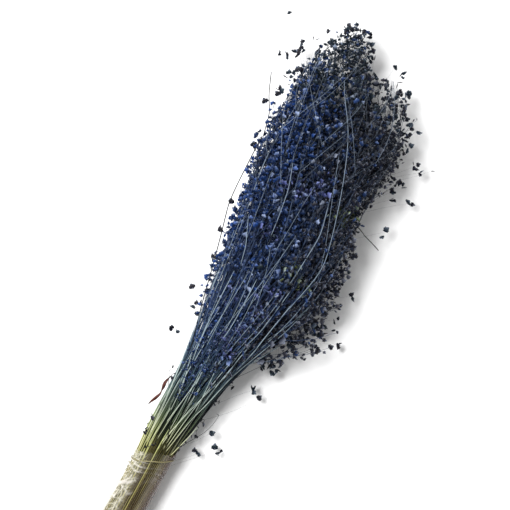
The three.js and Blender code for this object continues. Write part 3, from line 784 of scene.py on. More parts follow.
def rise_over(side, along, spare):
    """The height of the bunch's upper side, H + D sqrt(1 - ((x - S) / W)^2), plus a spare, in millimetres,
    with W 6% more than the half width, so that a stem at the edge isn't drawn down to the middle's height."""
    middle, height, half_width, half_depth, _ = section(along)
    aside = np.clip((side - middle) / (half_width * 1.06), -1, 1)
    return height + half_depth * np.sqrt(1 - aside ** 2) + spare


def smooth_line(points, count):
    """A line of count points through a few: each measure is interpolated over the share of the way, and then
    averaged three times with its neighbours."""
    points = np.asarray(points, float)
    share = np.linspace(0, 1, len(points))
    line = np.stack([np.interp(np.linspace(0, 1, count), share, column) for column in points.T], axis=1)
    for _ in range(3):
        line[1:-1] = (line[:-2] + line[1:-1] + line[2:]) / 3
    return line


def ramp(nodes, fac, stops, place_at):
    """A colour ramp over fac with stops of (position, linear colour)."""
    made = nodes.new("ShaderNodeValToRGB")
    made.location = place_at
    elements = made.color_ramp.elements
    while len(elements) < len(stops):
        elements.new(0.5)
    for element, (position, colour) in zip(elements, stops):
        element.position = position
        element.color = (*colour, 1)
    made.id_data.links.new(fac, made.inputs["Fac"])
    return made.outputs["Color"]


def mixed(nodes, factor, first, second, place_at):
    """Two colours mixed by a factor. Each may be a socket or a fixed value."""
    made = nodes.new("ShaderNodeMix")
    made.data_type, made.location = "RGBA", place_at
    for socket, value in zip((made.inputs[0], made.inputs[6], made.inputs[7]), (factor, first, second)):
        if isinstance(value, bpy.types.NodeSocket):
            made.id_data.links.new(value, socket)
        elif socket.type == "RGBA":
            socket.default_value = (*value, 1)
        else:
            socket.default_value = value
    return made.outputs[2]


def maths(nodes, operation, first, second, place_at, third=None):
    """One calculation with two or three numbers, each a socket or a fixed value."""
    made = nodes.new("ShaderNodeMath")
    made.operation, made.location = operation, place_at
    for socket, value in zip(made.inputs, (first, second, third)):
        if isinstance(value, bpy.types.NodeSocket):
            made.id_data.links.new(value, socket)
        elif value is not None:
            socket.default_value = value
    return made.outputs[0]


def ranged(nodes, value, low, high, place_at, to_low=0.0, to_high=1.0):
    """A value's share of the way from low to high, smoothed and scaled to a range."""
    made = nodes.new("ShaderNodeMapRange")
    made.interpolation_type, made.location = "SMOOTHSTEP", place_at
    made.id_data.links.new(value, made.inputs["Value"])
    for name, number in (("From Min", low), ("From Max", high), ("To Min", to_low), ("To Max", to_high)):
        made.inputs[name].default_value = number
    return made.outputs["Result"]


def dry_fibre():
    """The node group of dry plant fibre: fine streaks along the piece's own map, as a mask from 0 to 1."""
    name = "dry_fibre"
    if name in bpy.data.node_groups:
        return bpy.data.node_groups[name]
    group = bpy.data.node_groups.new(name, "ShaderNodeTree")
    group.interface.new_socket("Map", in_out="INPUT", socket_type="NodeSocketVector")
    for label, default in (("Across", 90.0), ("Along", 14.0), ("Low", 0.35), ("High", 0.7)):
        socket = group.interface.new_socket(label, in_out="INPUT", socket_type="NodeSocketFloat")
        socket.default_value = default
    group.interface.new_socket("Streaks", in_out="OUTPUT", socket_type="NodeSocketFloat")
    nodes, links = group.nodes, group.links
    inputs, outputs = nodes.new("NodeGroupInput"), nodes.new("NodeGroupOutput")
    inputs.location, outputs.location = (-700, 0), (500, 0)
    scale = nodes.new("ShaderNodeCombineXYZ")
    scale.location = (-500, -150)
    links.new(inputs.outputs["Across"], scale.inputs["X"])
    links.new(inputs.outputs["Along"], scale.inputs["Y"])
    stretched = nodes.new("ShaderNodeVectorMath")
    stretched.operation, stretched.location = "MULTIPLY", (-300, 0)
    links.new(inputs.outputs["Map"], stretched.inputs[0])
    links.new(scale.outputs[0], stretched.inputs[1])
    noise = nodes.new("ShaderNodeTexNoise")
    noise.location = (-100, 0)
    noise.inputs["Scale"].default_value = 1
    noise.inputs["Detail"].default_value = 3
    links.new(stretched.outputs[0], noise.inputs["Vector"])
    spread = nodes.new("ShaderNodeMapRange")
    spread.location = (200, 0)
    links.new(noise.outputs["Fac"], spread.inputs["Value"])
    links.new(inputs.outputs["Low"], spread.inputs["From Min"])
    links.new(inputs.outputs["High"], spread.inputs["From Max"])
    links.new(spread.outputs["Result"], outputs.inputs["Streaks"])
    return group


def new_material(name):
    """An empty material and its nodes, with a Principled shader, and the piece's own map split in two."""
    material = bpy.data.materials.new(name)
    material.use_nodes = True
    nodes = material.node_tree.nodes
    shader = nodes["Principled BSDF"]
    shader.location = (900, 0)
    nodes["Material Output"].location = (1200, 0)
    own_map = nodes.new("ShaderNodeUVMap")
    own_map.uv_map, own_map.location = UV_NAME, (-1300, 0)
    split = nodes.new("ShaderNodeSeparateXYZ")
    split.location = (-1100, 0)
    material.node_tree.links.new(own_map.outputs[0], split.inputs[0])
    return material, nodes, shader, own_map.outputs[0], split.outputs


def fibre(nodes, own_map, place_at, **values):
    """The group of dry fibre, placed in a material with its own values."""
    made = nodes.new("ShaderNodeGroup")
    made.node_tree, made.location = dry_fibre(), place_at
    made.id_data.links.new(own_map, made.inputs["Map"])
    for label, number in values.items():
        made.inputs[label].default_value = number
    return made.outputs["Streaks"]


def scaled(colour, factor):
    """A linear colour made lighter or darker."""
    return tuple(min(1.0, channel * factor) for channel in colour)


def family_stops(properties):
    """The ramp's stops for the dye families: each runs from a dark tone of its colour nearly to the colour
    itself, then to a lighter tone with a little painted glint, and last to a papery one that took little dye
    and is largely painted glint."""
    glint = np.array(properties.glint)
    stops = []
    for name, (start, end) in DYES.items():
        colour = tuple(getattr(properties, name))
        light = lerp(np.array(scaled(colour, 1.35)), glint, 0.18)
        # Painted glint, partly the undyed papery tone: the last tone of each family.
        papery = lerp(np.array(scaled(colour, 1.6)), glint, 0.72)
        stops += [(start, scaled(colour, 0.36)), (lerp(start, end, 0.5), scaled(colour, 0.9))]
        stops += [(lerp(start, end, 0.85), tuple(light)), (end + PATCH / 2, tuple(papery))]
    return stops


def spikelet_colour(nodes, u, v, streaks, properties):
    """A spikelet's colour: its dye, with painted shade towards the hollow at its foot, and pale papery veins
    towards its tip that are partly its undyed rim and partly a painted glint.
    """
    dye = ramp(nodes, u, family_stops(properties), (-800, 300))
    height = ranged(nodes, v, *SPIKELET_ROW, (-800, 550))
    rim = ranged(nodes, height, 0.45, 1.0, (-600, 550))
    # Pale specks towards the tip: partly the undyed papery rim, partly a painted glint.
    vein = ranged(nodes, streaks, 0.4, 0.9, (-600, 950))
    papery = maths(nodes, "MULTIPLY", rim, vein, (-400, 550))
    # Painted shade: darker towards the hollow at the spikelet's foot.
    hollow = ranged(nodes, height, 0.0, 0.55, (-600, 750), 0.75, 0.0)
    shaded = mixed(nodes, hollow, dye, srgb(6, 18, 40), (-400, 350))
    return mixed(nodes, papery, shaded, tuple(properties.glint), (-200, 350))


def stem_colour(nodes, u, v, streaks):
    """A stem's colour along it: straw under the film, yellow-green at the neck, then grey-green, slate and
    navy. Across the palette it turns to dark brown, dark green and dark navy, then to charcoal in the head
    for the stems furthest right, which is painted shade, and the bleached stems have a strip of their own.
    Streaks wear it to straw below the neck, and above it they darken it along its furrows as painted shade."""
    rows = STEM_ROW[1] - STEM_ROW[0]
    along = maths(nodes, "MULTIPLY_ADD", v, 1 / rows, (-1000, -100), -STEM_ROW[0] / rows)
    light = ramp(nodes, along, [
        (0.00, srgb(144, 134, 86)), (0.17, srgb(146, 142, 84)), (0.235, srgb(184, 190, 128)),
        (0.28, srgb(118, 136, 100)), (0.33, srgb(86, 108, 110)), (0.40, srgb(70, 94, 120)),
        (0.48, srgb(48, 70, 112)), (0.62, srgb(62, 78, 106)), (1.00, srgb(104, 110, 114)),
    ], (-800, 0))
    dark = ramp(nodes, along, [
        (0.00, srgb(64, 44, 24)), (0.17, srgb(60, 44, 22)), (0.235, srgb(34, 38, 18)),
        (0.28, srgb(18, 30, 26)), (0.35, srgb(10, 26, 42)), (0.60, srgb(10, 28, 62)),
        (1.00, srgb(26, 32, 34)),
    ], (-800, -250))
    bleached = ramp(nodes, along, [
        (0.00, srgb(160, 146, 98)), (0.17, srgb(166, 154, 104)), (0.235, srgb(196, 198, 156)),
        (0.30, srgb(180, 192, 178)), (0.40, srgb(154, 172, 182)), (0.60, srgb(130, 146, 164)),
        (1.00, srgb(112, 122, 138)),
    ], (-800, -500))

    # Painted shade: the stems furthest right turn charcoal in the head.
    far_right = ranged(nodes, u, 0.8, 0.9, (-900, -900))
    in_head = ranged(nodes, along, 0.33, 0.5, (-900, -1100))
    right_head_shade = maths(nodes, "MULTIPLY", far_right, in_head, (-700, -900))
    deep = mixed(nodes, right_head_shade, dark, srgb(26, 25, 28), (-500, -700))
    dyed = mixed(nodes, ranged(nodes, u, 0.1, 0.7, (-700, -700)), light, deep, (-500, -100))
    is_bleached = maths(nodes, "GREATER_THAN", u, BLEACHED - PATCH / 2, (-500, 100))
    stem = mixed(nodes, is_bleached, dyed, bleached, (-350, -100))

    below_neck = ranged(nodes, along, 0.19, 0.26, (-600, -1300), 0.75, 0.04)
    scuffs = ranged(nodes, streaks, 0.25, 0.9, (-600, -1500))
    wear = maths(nodes, "MULTIPLY", scuffs, below_neck, (-400, -1300))
    straw = mixed(nodes, wear, stem, srgb(150, 140, 80), (-200, -100))
    # Painted shade: dark streaks along the stems above the neck, as in their furrows.
    above_neck = ranged(nodes, along, 0.2, 0.27, (-600, -1700), 0.0, 0.55)
    furrows = ranged(nodes, streaks, 0.35, 0.85, (-600, -1900))
    furrow_shade = maths(nodes, "MULTIPLY", furrows, above_neck, (-400, -1700))
    return mixed(nodes, furrow_shade, straw, srgb(14, 24, 28), (-50, -300))


def grass_material(properties):
    """Dyed dry grass. The palette's lower half is for spikelets, with the dye's families across it, and its
    upper half for stems, from pale to dark and last the bleached ones."""
    material, nodes, shader, own_map, split = new_material("dyed_dry_grass")
    links = material.node_tree.links
    u, v = split["X"], split["Y"]
    streaks = fibre(nodes, own_map, (-900, -500), Across=260.0, Along=30.0)
    husk = spikelet_colour(nodes, u, v, streaks, properties)
    stem = stem_colour(nodes, u, v, streaks)
    is_stem = maths(nodes, "GREATER_THAN", v, BETWEEN_ROWS, (-200, 100))
    links.new(mixed(nodes, is_stem, husk, stem, (100, 100)), shader.inputs["Base Color"])
    links.new(ranged(nodes, is_stem, 0, 1, (100, -200), 0.7, 0.45), shader.inputs["Roughness"])
    links.new(ranged(nodes, is_stem, 0, 1, (100, -450), 0.06, 0.14), shader.inputs["Specular IOR Level"])
    return material


def film_material(properties):
    """Clear crinkled film: nearly see-through where it lies smooth, pale on its creases, which is a painted
    glint, and on the borders of its small crumpled fields and where it is cloudy, at the left, which is
    partly painted light; and brownish at the right, which is painted shade. It shows most where it is seen
    edge-on.
    How creased it is and how far to the side it lies, from -1 to 1, are the piece's own attributes."""
    material, nodes, shader, own_map, _ = new_material("clear_film")
    links = material.node_tree.links
    crease, aside = nodes.new("ShaderNodeAttribute"), nodes.new("ShaderNodeAttribute")
    crease.attribute_name, crease.location = "crease", (-1100, 0)
    aside.attribute_name, aside.location = "aside", (-1100, 300)
    # Painted light: the film is cloudier and paler towards the left, partly as a real haze.
    milky_and_lit = ranged(nodes, aside.outputs["Fac"], -0.85, 0.0, (-900, 200), 1.0, 0.0)
    # Painted shade: brownish towards the right.
    brown = ranged(nodes, aside.outputs["Fac"], 0.35, 0.9, (-900, 400))
    haze = fibre(nodes, own_map, (-900, -300), Across=26.0, Along=8.0)
    sharp = ranged(nodes, crease.outputs["Fac"], 0.16, 0.7, (-900, 0))

    # Its cover is a sum: folds, the haze that is cloudy at the left and partly painted light, the brown side
    # of painted shade, crumpled fields and the edge-on outline.
    fold_cover = maths(nodes, "MULTIPLY_ADD", milky_and_lit, 0.46, (-650, 100), 0.04)
    folds = maths(nodes, "MULTIPLY", sharp, fold_cover, (-450, 50))
    cloud = maths(nodes, "MULTIPLY", haze, milky_and_lit, (-450, -150))
    with_cloud = maths(nodes, "MULTIPLY_ADD", cloud, 0.1, (-250, -50), folds)
    with_brown = maths(nodes, "MULTIPLY_ADD", brown, 0.3, (-50, 50), with_cloud)
    fields = nodes.new("ShaderNodeTexVoronoi")
    fields.feature, fields.location = "DISTANCE_TO_EDGE", (-900, -600)
    fields.inputs["Scale"].default_value = 16
    links.new(own_map, fields.inputs["Vector"])
    border = ranged(nodes, fields.outputs["Distance"], 0.0, 0.09, (-650, -600), 1.0, 0.0)
    cloudy_lit_border = maths(nodes, "MULTIPLY", border, milky_and_lit, (-450, -600))
    crumpled = maths(nodes, "MULTIPLY", cloudy_lit_border, haze, (-250, -600))
    with_fields = maths(nodes, "MULTIPLY_ADD", crumpled, 0.6, (100, -300), with_brown)
    edge_on = nodes.new("ShaderNodeLayerWeight")
    edge_on.location = (-450, -850)
    outline = ranged(nodes, edge_on.outputs["Facing"], 0.7, 1.0, (-250, -850), 0.01, 0.3)
    links.new(maths(nodes, "ADD", with_fields, outline, (300, -300)), shader.inputs["Alpha"])

    links.new(ranged(nodes, sharp, 0.0, 1.0, (-300, -350), 0.2, 0.4), shader.inputs["Roughness"])
    # Painted shade: the tint turns brown towards the right.
    tint = mixed(nodes, brown, tuple(properties.film_colour), srgb(108, 80, 70), (-300, 200))
    # Painted glint: the creases turn pale.
    crease_glint = maths(nodes, "MULTIPLY", sharp, 0.7, (-300, 350))
    links.new(mixed(nodes, crease_glint, tint, srgb(228, 222, 220), (-100, 200)), shader.inputs["Base Color"])
    shader.inputs["Specular IOR Level"].default_value = 0.6
    shader.inputs["Coat Weight"].default_value = 0.2
    shader.inputs["Coat Roughness"].default_value = 0.15
    return material


def band_material(properties):
    """Satin elastic, a little dusty in fine cross streaks."""
    material, nodes, shader, own_map, _ = new_material("pale_elastic")
    dust = fibre(nodes, own_map, (-600, 0), Across=60.0, Along=3.0)
    colour = tuple(properties.band_colour)
    tone = mixed(nodes, dust, scaled(colour, 0.72), colour, (-200, 0))
    material.node_tree.links.new(tone, shader.inputs["Base Color"])
    shader.inputs["Roughness"].default_value = 0.5
    return material


def leaf_material(properties):
    """A dead grass blade: red-brown, with paler veins along it and dark scorched ends."""
    material, nodes, shader, own_map, split = new_material("dead_leaf")
    links = material.node_tree.links
    veins = fibre(nodes, own_map, (-900, -200), Across=26.0, Along=2.0)
    colour = tuple(properties.leaf_colour)
    veined = mixed(nodes, veins, scaled(colour, 0.55), scaled(colour, 1.5), (-400, 0))
    from_end = maths(nodes, "PINGPONG", split["Y"], 0.5, (-700, 200))
    unscorched = ranged(nodes, from_end, 0.0, 0.16, (-500, 200))
    links.new(mixed(nodes, unscorched, srgb(52, 34, 28), veined, (-100, 100)), shader.inputs["Base Color"])
    bump = nodes.new("ShaderNodeBump")
    bump.location = (300, -300)
    bump.inputs["Strength"].default_value = 0.35
    bump.inputs["Distance"].default_value = 0.0003
    links.new(veins, bump.inputs["Height"])
    links.new(bump.outputs[0], shader.inputs["Normal"])
    shader.inputs["Roughness"].default_value = 0.68
    return material


def solid_sheet(name, outer, inner, palette, material, closed=False):
    """A closed thin solid between two grids of points (a, r, 3): the outer face, the inner face turned over,
    and a narrow face along each edge. closed joins the first column to the last."""
    rows, columns = outer.shape[:2]
    index = np.arange(rows * columns).reshape(rows, columns)
    if closed:
        index = np.concatenate([index, index[:, :1]], axis=1)
    shift = rows * columns
    wall = np.stack([index[:-1, :-1], index[1:, :-1], index[1:, 1:], index[:-1, 1:]], axis=-1).reshape(-1, 4)
    rims = [index[0], index[-1, ::-1]] + ([] if closed else [index[::-1, 0], index[:, -1]])
    edges = [np.stack([rim[:-1], rim[1:], rim[1:] + shift, rim[:-1] + shift], axis=1) for rim in rims]
    surface = Surface()
    vertices = np.concatenate([outer.reshape(-1, 3), inner.reshape(-1, 3)])
    flat = palette.reshape(-1, 2)
    surface.add(vertices, np.concatenate([flat, flat]), [wall, wall[:, ::-1] + shift, *edges], True)
    return surface.build(name, material)


def film_edge(along):
    """Where the film's outer edge runs, in degrees round the bunch, at places along it in millimetres."""
    return lerp(112, 80, along / 125)


def wrap_points(along, degrees, off, lowest):
    """Points off the bunch by off millimetres, at places along it and degrees round it, and no lower than
    lowest: x = side + (W + off) cos a, z = height + (D + off) sin a."""
    side, height, half_width, half_depth, _ = section(along)
    angle = np.radians(degrees)
    x = side + (half_width + off) * np.cos(angle)
    z = height + (half_depth + off) * np.sin(angle)
    return to_frame(x, along, np.maximum(z, lowest))


def crease_height(along, roll):
    """The film's creases, from 0 to 1: sharp folds (1 - |sin|)^n along the stems, aslant and across, bent by
    slower waves, with patches left smooth, and weaker where the band presses the film down. At the waist it
    is bunched up in small folds across the stems."""
    warp = 0.9 * np.sin(along / 13 + 4 * roll) + 0.5 * np.sin(along / 6.1 - 9 * roll)
    lengthwise = (1 - np.abs(np.sin(math.pi * 6.5 * roll + warp))) ** 3
    aslant = (1 - np.abs(np.sin(math.pi * 4 * roll + along / 12 + 1.4 * warp))) ** 3
    crosswise = (1 - np.abs(np.sin(math.pi * 2.5 * roll - along / 7.5 + 1.7 * warp))) ** 4
    patches = smoothstep(np.sin(along / 9.7 + 5 * roll) + np.sin(11 * roll - along / 15), -1.1, 1.2)
    pressed = smoothstep(along, 90, 108) * (1 - 0.6 * smoothstep(along, 115, 122))
    bunched = (1 - np.abs(np.sin(along / 1.6 + 1.3 * np.sin(19 * roll) + 3 * roll))) ** 2
    waist = smoothstep(along, 93, 99) * (1 - smoothstep(along, 107, 114))
    folds = (0.5 * lengthwise + 0.45 * aslant + 0.4 * crosswise) * patches * (1 - 0.7 * pressed)
    return np.maximum(folds, 0.85 * bunched * waist)


class GRASS_OT_tufts(bpy.types.Operator):
    """Grows the tufts: fine stems with loose panicles, in place of the coarse ones"""

    bl_idname = "grass.tufts"
    bl_label = "Grow tufts"

    def execute(self, context):
        properties = context.scene.quaking_grass
        material = grass_material(properties)
        plan = stem_plan(properties)
        for number, node in enumerate(TUFT_NAMES):
            random = np.random.default_rng(TUFT_SEED + number)
            mine = chosen_stems(plan, plan["owner"] == number)
            surface = Surface()
            self.add_stems(surface, mine, properties, random)
            bearing = chosen_stems(mine, ~mine["bare"])
            add_panicles(surface, bearing, properties.branches, properties, random)
            piece = surface.build(f"fine_{node}", material)
            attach(piece, "root")
            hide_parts(node)
        return {"FINISHED"}

    def add_stems(self, surface, plan, properties, random):
        """The stems from their cut ends to their tips, none of them below the floor."""
        rings = 36
        along = lerp(plan["start"][:, None], plan["tip"][:, None], np.linspace(0, 1, rings))
        centres = stem_points(plan, along)
        neck_radius = properties.stem_radius * plan["thin"][:, None]
        radii = stem_radius(along, plan["foot"][:, None], plan["tip"][:, None], neck_radius)
        centres[..., 2] = np.maximum(centres[..., 2], radii)
        sides = stem_sides(centres[:, rings // 3], random)
        add_strands(surface, centres, radii, 4, sides, stem_row(centres))


class GRASS_OT_loose_stalks(bpy.types.Operator):
    """Adds single stems on top, small panicles, curled hairs beside the neck and stray stalks"""

    bl_idname = "grass.loose_stalks"
    bl_label = "Add loose stalks"

    def execute(self, context):
        properties = context.scene.quaking_grass
        random = np.random.default_rng(LOOSE_SEED)
        surface = Surface()
        self.add_top_stems(surface, random)
        self.add_small_panicles(surface, sprig_plan(random), SPRIG_BRANCHES, properties, random)
        self.add_small_panicles(surface, crown_plan(random), CROWN_BRANCHES, properties, random)
        self.add_neck_hairs(surface, properties, random)
        self.add_strays(surface, properties, random)
        piece = surface.build("loose_stalks", bpy.data.materials["dyed_dry_grass"])
        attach(piece, "root")
        return {"FINISHED"}

    def add_top_stems(self, surface, random):
        """Single stems that lie on the bunch's upper side and dip into it at both ends: the pale and dark
        ones with a place of their own, and finer ones drawn at random, more or less along the bunch."""
        rings = 26
        lines = [smooth_line(points, rings) for points in PALE_STEMS + DARK_STEMS]
        own = len(lines)
        lows = np.concatenate([random.uniform(low, high, count) for low, high, count in FINE_STEMS])
        lines += [self.fine_stem(low, rings, random) for low in lows]
        side, along = np.moveaxis(np.array(lines), -1, 0)
        dip = np.sin(np.linspace(0, math.pi, rings)) ** 0.4
        over = lerp(0.6, 4.5, smoothstep(along, 150, 260))
        centres = to_frame(side, along, rise_over(side, along, lerp(-4, over, dip)))

        thin = np.concatenate([random.uniform(0.8, 1.1, own), random.uniform(0.6, 1.0, len(lows))])
        counts = [len(PALE_STEMS), len(DARK_STEMS), len(lows)]
        least = np.repeat([PALE_RADIUS, DARK_RADIUS, FINE_RADIUS], counts)
        radii = lerp(TOP_RADIUS, least[:, None], smoothstep(along, 150, 330)) * thin[:, None]
        own_places = np.repeat([BLEACHED, DARK_STEM], counts[:2])
        places = stem_sides(centres[own:, 0], random) * 0.5
        places = np.where(random.random(len(places)) < 0.36, BLEACHED, places)
        add_strands(surface, centres, radii, 4, np.concatenate([own_places, places]), stem_row(centres))

    def fine_stem(self, low, rings, random):
        """The line of a finer stem on top, to the side and along, from its lower end on. It keeps its share
        of the bunch's half width or drifts from it, in the head more than below."""
        points = 5
        along = np.linspace(low, min(low + random.uniform(50, 120), FINE_STEMS_END), points)
        middle, _, half_width, _, _ = section(along)
        drift = 0.42 if low > 270 else 0.22
        aside = random.uniform(-0.95, 0.8) + drift * random.standard_normal() * np.linspace(0, 1, points)
        aside = np.clip(aside, -0.97, 0.9)
        return smooth_line(np.stack([middle + half_width * aside, along], axis=1), rings)

    def add_small_panicles(self, surface, plan, branches, properties, random):
        """Small panicles by their plan, with thin stalks."""
        rings = 12
        along = lerp(plan["start"][:, None], plan["tip"][:, None], np.linspace(0, 1, rings))
        centres = stem_points(plan, along)
        radii = np.broadcast_to(np.linspace(0.0003, 0.00012, rings), along.shape)
        add_strands(surface, centres, radii, 3, stem_sides(centres[:, 0], random), stem_row(centres))
        add_panicles(surface, plan, branches, properties, random)

    def add_neck_hairs(self, surface, properties, random):
        """Fine curled hairs beside the neck, each with a spikelet at its end, and single dark spikelets that
        cling to it."""
        rings = 24
        lines = np.array([smooth_line(points, rings) for points in NECK_HAIRS])
        centres = to_frame(lines[..., 0], lines[..., 1], lines[..., 2])
        radii = np.broadcast_to(np.linspace(0.00034, 0.00022, rings), centres.shape[:2])
        add_strands(surface, centres, radii, 3, np.full(len(lines), DARK_HAIR), stem_row(centres))
        side, along = np.array(NECK_BITS).T
        middle, _, half_width, _, _ = section(along)
        side = np.maximum(side, middle - 0.95 * half_width)
        clinging = to_frame(side, along, rise_over(side, along, 0))
        feet = np.concatenate([centres[:, -1], clinging])
        ways = unit(random.standard_normal((len(feet), 3)))
        sizes = random.uniform(0.5, 0.95, len(feet))
        places = lerp(*DYES["charcoal"], random.random(len(feet)) * 0.5)
        add_spikelets(surface, feet, ways, sizes, places, properties, random)

    def add_strays(self, surface, properties, random):
        """Each stray stalk leaves the bunch inside its edge, runs to its place in a shallow arc that sinks
        towards the table the further out it comes, and bears its spikelets around its end."""
        rings = 12
        share = np.linspace(0, 1, rings)
        side, along, back, count = np.array(STRAYS).T
        root_along = along - back
        middle, root_height, half_width, _, _ = section(root_along)
        aside = (side - middle) / half_width
        root_side = middle + half_width * np.clip(aside, -0.85, 0.85)
        end_middle, end_height, end_half_width, _, _ = section(along)
        beyond = np.abs(side - end_middle) - end_half_width
        height = end_height * lerp(0.95, 0.3, smoothstep(beyond, -5, 40))
        bow = back * random.uniform(-0.12, 0.12, len(back))
        run_side = lerp(root_side[:, None], side[:, None], share) + bow[:, None] * share * (1 - share) * 4
        run_along = lerp(root_along[:, None], along[:, None], share)
        run_height = lerp(root_height[:, None], height[:, None], share ** 1.2)
        centres = to_frame(run_side, run_along, run_height)
        radii = np.broadcast_to(np.linspace(0.00010, 0.00004, rings), centres.shape[:2])
        add_strands(surface, centres, radii, 3, np.full(len(back), DARK_BRANCH), stem_row(centres))

        way = unit(centres[:, -1] - centres[:, -3])
        which = np.repeat(np.arange(len(back)), count.astype(int))
        nth = np.arange(len(which)) - np.searchsorted(which, which)
        spread = (1, 1, 0.5) * random.standard_normal((len(which), 3))
        feet = centres[which, -1] - way[which] * (0.0018 * nth[:, None])
        feet = feet + 0.0006 * nth[:, None] * spread
        ways = unit(way[which] + 0.8 * spread)
        sizes = random.uniform(0.85, 1.3, len(which))
        dark = np.where(random.random(len(which)) < 0.5, DYES["charcoal"][0], DYES["black_green"][0])
        places = dark + 0.04 * random.random(len(which))
        add_spikelets(surface, feet, ways, sizes, places, properties, random)


class GRASS_OT_film(bpy.types.Operator):
    """Rolls the clear crinkled film round the stems, in place of the smooth sleeve"""

    bl_idname = "grass.film"
    bl_label = "Roll film"

    def execute(self, context):
        properties = context.scene.quaking_wrap
        steps_round, steps_along = 170, 84
        roll = np.linspace(0, properties.turns, steps_round)[None]
        share = np.linspace(0, 1, steps_along)[:, None]

        # Each line along the film runs from its level lower edge to the ragged, slanting upper one.
        start, end = properties.film_from / MM, properties.film_to / MM
        ragged = 1.1 * np.sin(41 * roll) + 0.8 * np.sin(97 * roll + 1)
        around = np.cos(np.radians(film_edge(end) + 360 * roll))
        along = lerp(start, end - FILM_SLANT + FILM_SLANT * around + ragged, share)
        roll = np.broadcast_to(roll, along.shape)

        # It starts as the outer layer and passes under itself once round, tighter towards the waist.
        overlap = properties.turns - 1
        crease = crease_height(along, roll)
        tight = 1 - 0.6 * smoothstep(along, 88, 104)
        off = lerp(*FILM_OFF, smoothstep(roll, overlap, 1.0)) * tight
        off = off + crease * properties.crinkle / MM * lerp(1, 0.3, smoothstep(roll, 0.95, 1.0))
        degrees = film_edge(along) + 360 * roll
        wall = properties.film_wall / MM
        outer = wrap_points(along, degrees, off + wall, WRAP_CLEAR)
        inner = wrap_points(along, degrees, off, WRAP_CLEAR + wall)

        palette = np.stack([roll / properties.turns, np.broadcast_to(share, roll.shape)], axis=-1)
        piece = solid_sheet("crinkled_film", outer, inner, palette, film_material(properties))
        for name, values in (("crease", crease), ("aside", np.cos(np.radians(degrees)))):
            attribute = piece.data.attributes.new(name, "FLOAT", "POINT")
            attribute.data.foreach_set("value", np.tile(values.ravel(), 2).astype(np.float32))
        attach(piece, "root")
        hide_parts("film_sleeve")
        return {"FINISHED"}


class GRASS_OT_band(bpy.types.Operator):
    """Puts the pale band round the neck, one turn aslant"""

    bl_idname = "grass.band"
    bl_label = "Put on band"

    def execute(self, context):
        properties = context.scene.quaking_wrap
        steps_across, steps_round = 7, 120
        bulge = np.linspace(0, math.pi, steps_across)[:, None]
        angle = np.arange(steps_round)[None] * (360 / steps_round)
        turn = np.radians(angle)

        # The band's middle runs at 112 + 6.5 cos a and two small waves, and its section is a low half round.
        slack = 0.5 * np.sin(2 * turn + 0.6) + 0.3 * np.sin(5 * turn)
        along = 112 + 6.5 * np.cos(turn) + slack - np.cos(bulge) * properties.band_width / MM / 2
        outer = wrap_points(along, angle, 0.85 + 0.5 * np.sin(bulge) ** 0.6, WRAP_CLEAR)
        inner = wrap_points(along, angle, 0.8 - 0.15 * np.sin(bulge), 0.1)
        palette = np.stack(np.broadcast_arrays(angle / 360, bulge / math.pi), axis=-1)
        piece = solid_sheet("pale_band", outer, inner, palette, band_material(properties), closed=True)
        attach(piece, "root")
        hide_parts("neck_band")
        return {"FINISHED"}


class GRASS_OT_leaf(bpy.types.Operator):
    """Curls the dry leaf off the outermost stem at the left"""

    bl_idname = "grass.leaf"
    bl_label = "Curl leaf"

    def execute(self, context):
        properties = context.scene.quaking_wrap
        rows, columns = 44, 9
        along, out, width, lean = smooth_line(LEAF_RINGS, rows).T[..., None]
        low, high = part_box("dry_leaf")
        height = (low[2] + high[2]) / 2 / MM
        middle, _, half_width, _, _ = section(along)
        stem_side = middle - 0.93 * half_width - 1.1

        # Across, the blade is a V with a ripple along it, turned about its midrib. With o the place across
        # the blade and f the V's depth there, it lies w (f cos t + o sin t) to the left of its midrib and
        # w (o cos t - f sin t) up.
        over = np.linspace(-0.5, 0.5, columns)
        fold = 0.55 * np.abs(over) + 0.1 * np.sin(along / 2.1 + 7 * over)
        turn = np.radians(35 + 0.6 * lean)
        x = stem_side - 0.6 - out - width * (fold * np.cos(turn) + over * np.sin(turn))
        z = height + width * (over * np.cos(turn) - fold * np.sin(turn))
        outer = to_frame(x - LEAF_HALF_WALL, along, z)
        inner = to_frame(x + LEAF_HALF_WALL, along, z)
        palette = np.stack(np.broadcast_arrays(over + 0.5, np.linspace(0, 1, rows)[:, None]), axis=-1)
        piece = solid_sheet("curled_leaf", outer, inner, palette, leaf_material(properties))
        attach(piece, "root")
        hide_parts("dry_leaf")
        return {"FINISHED"}


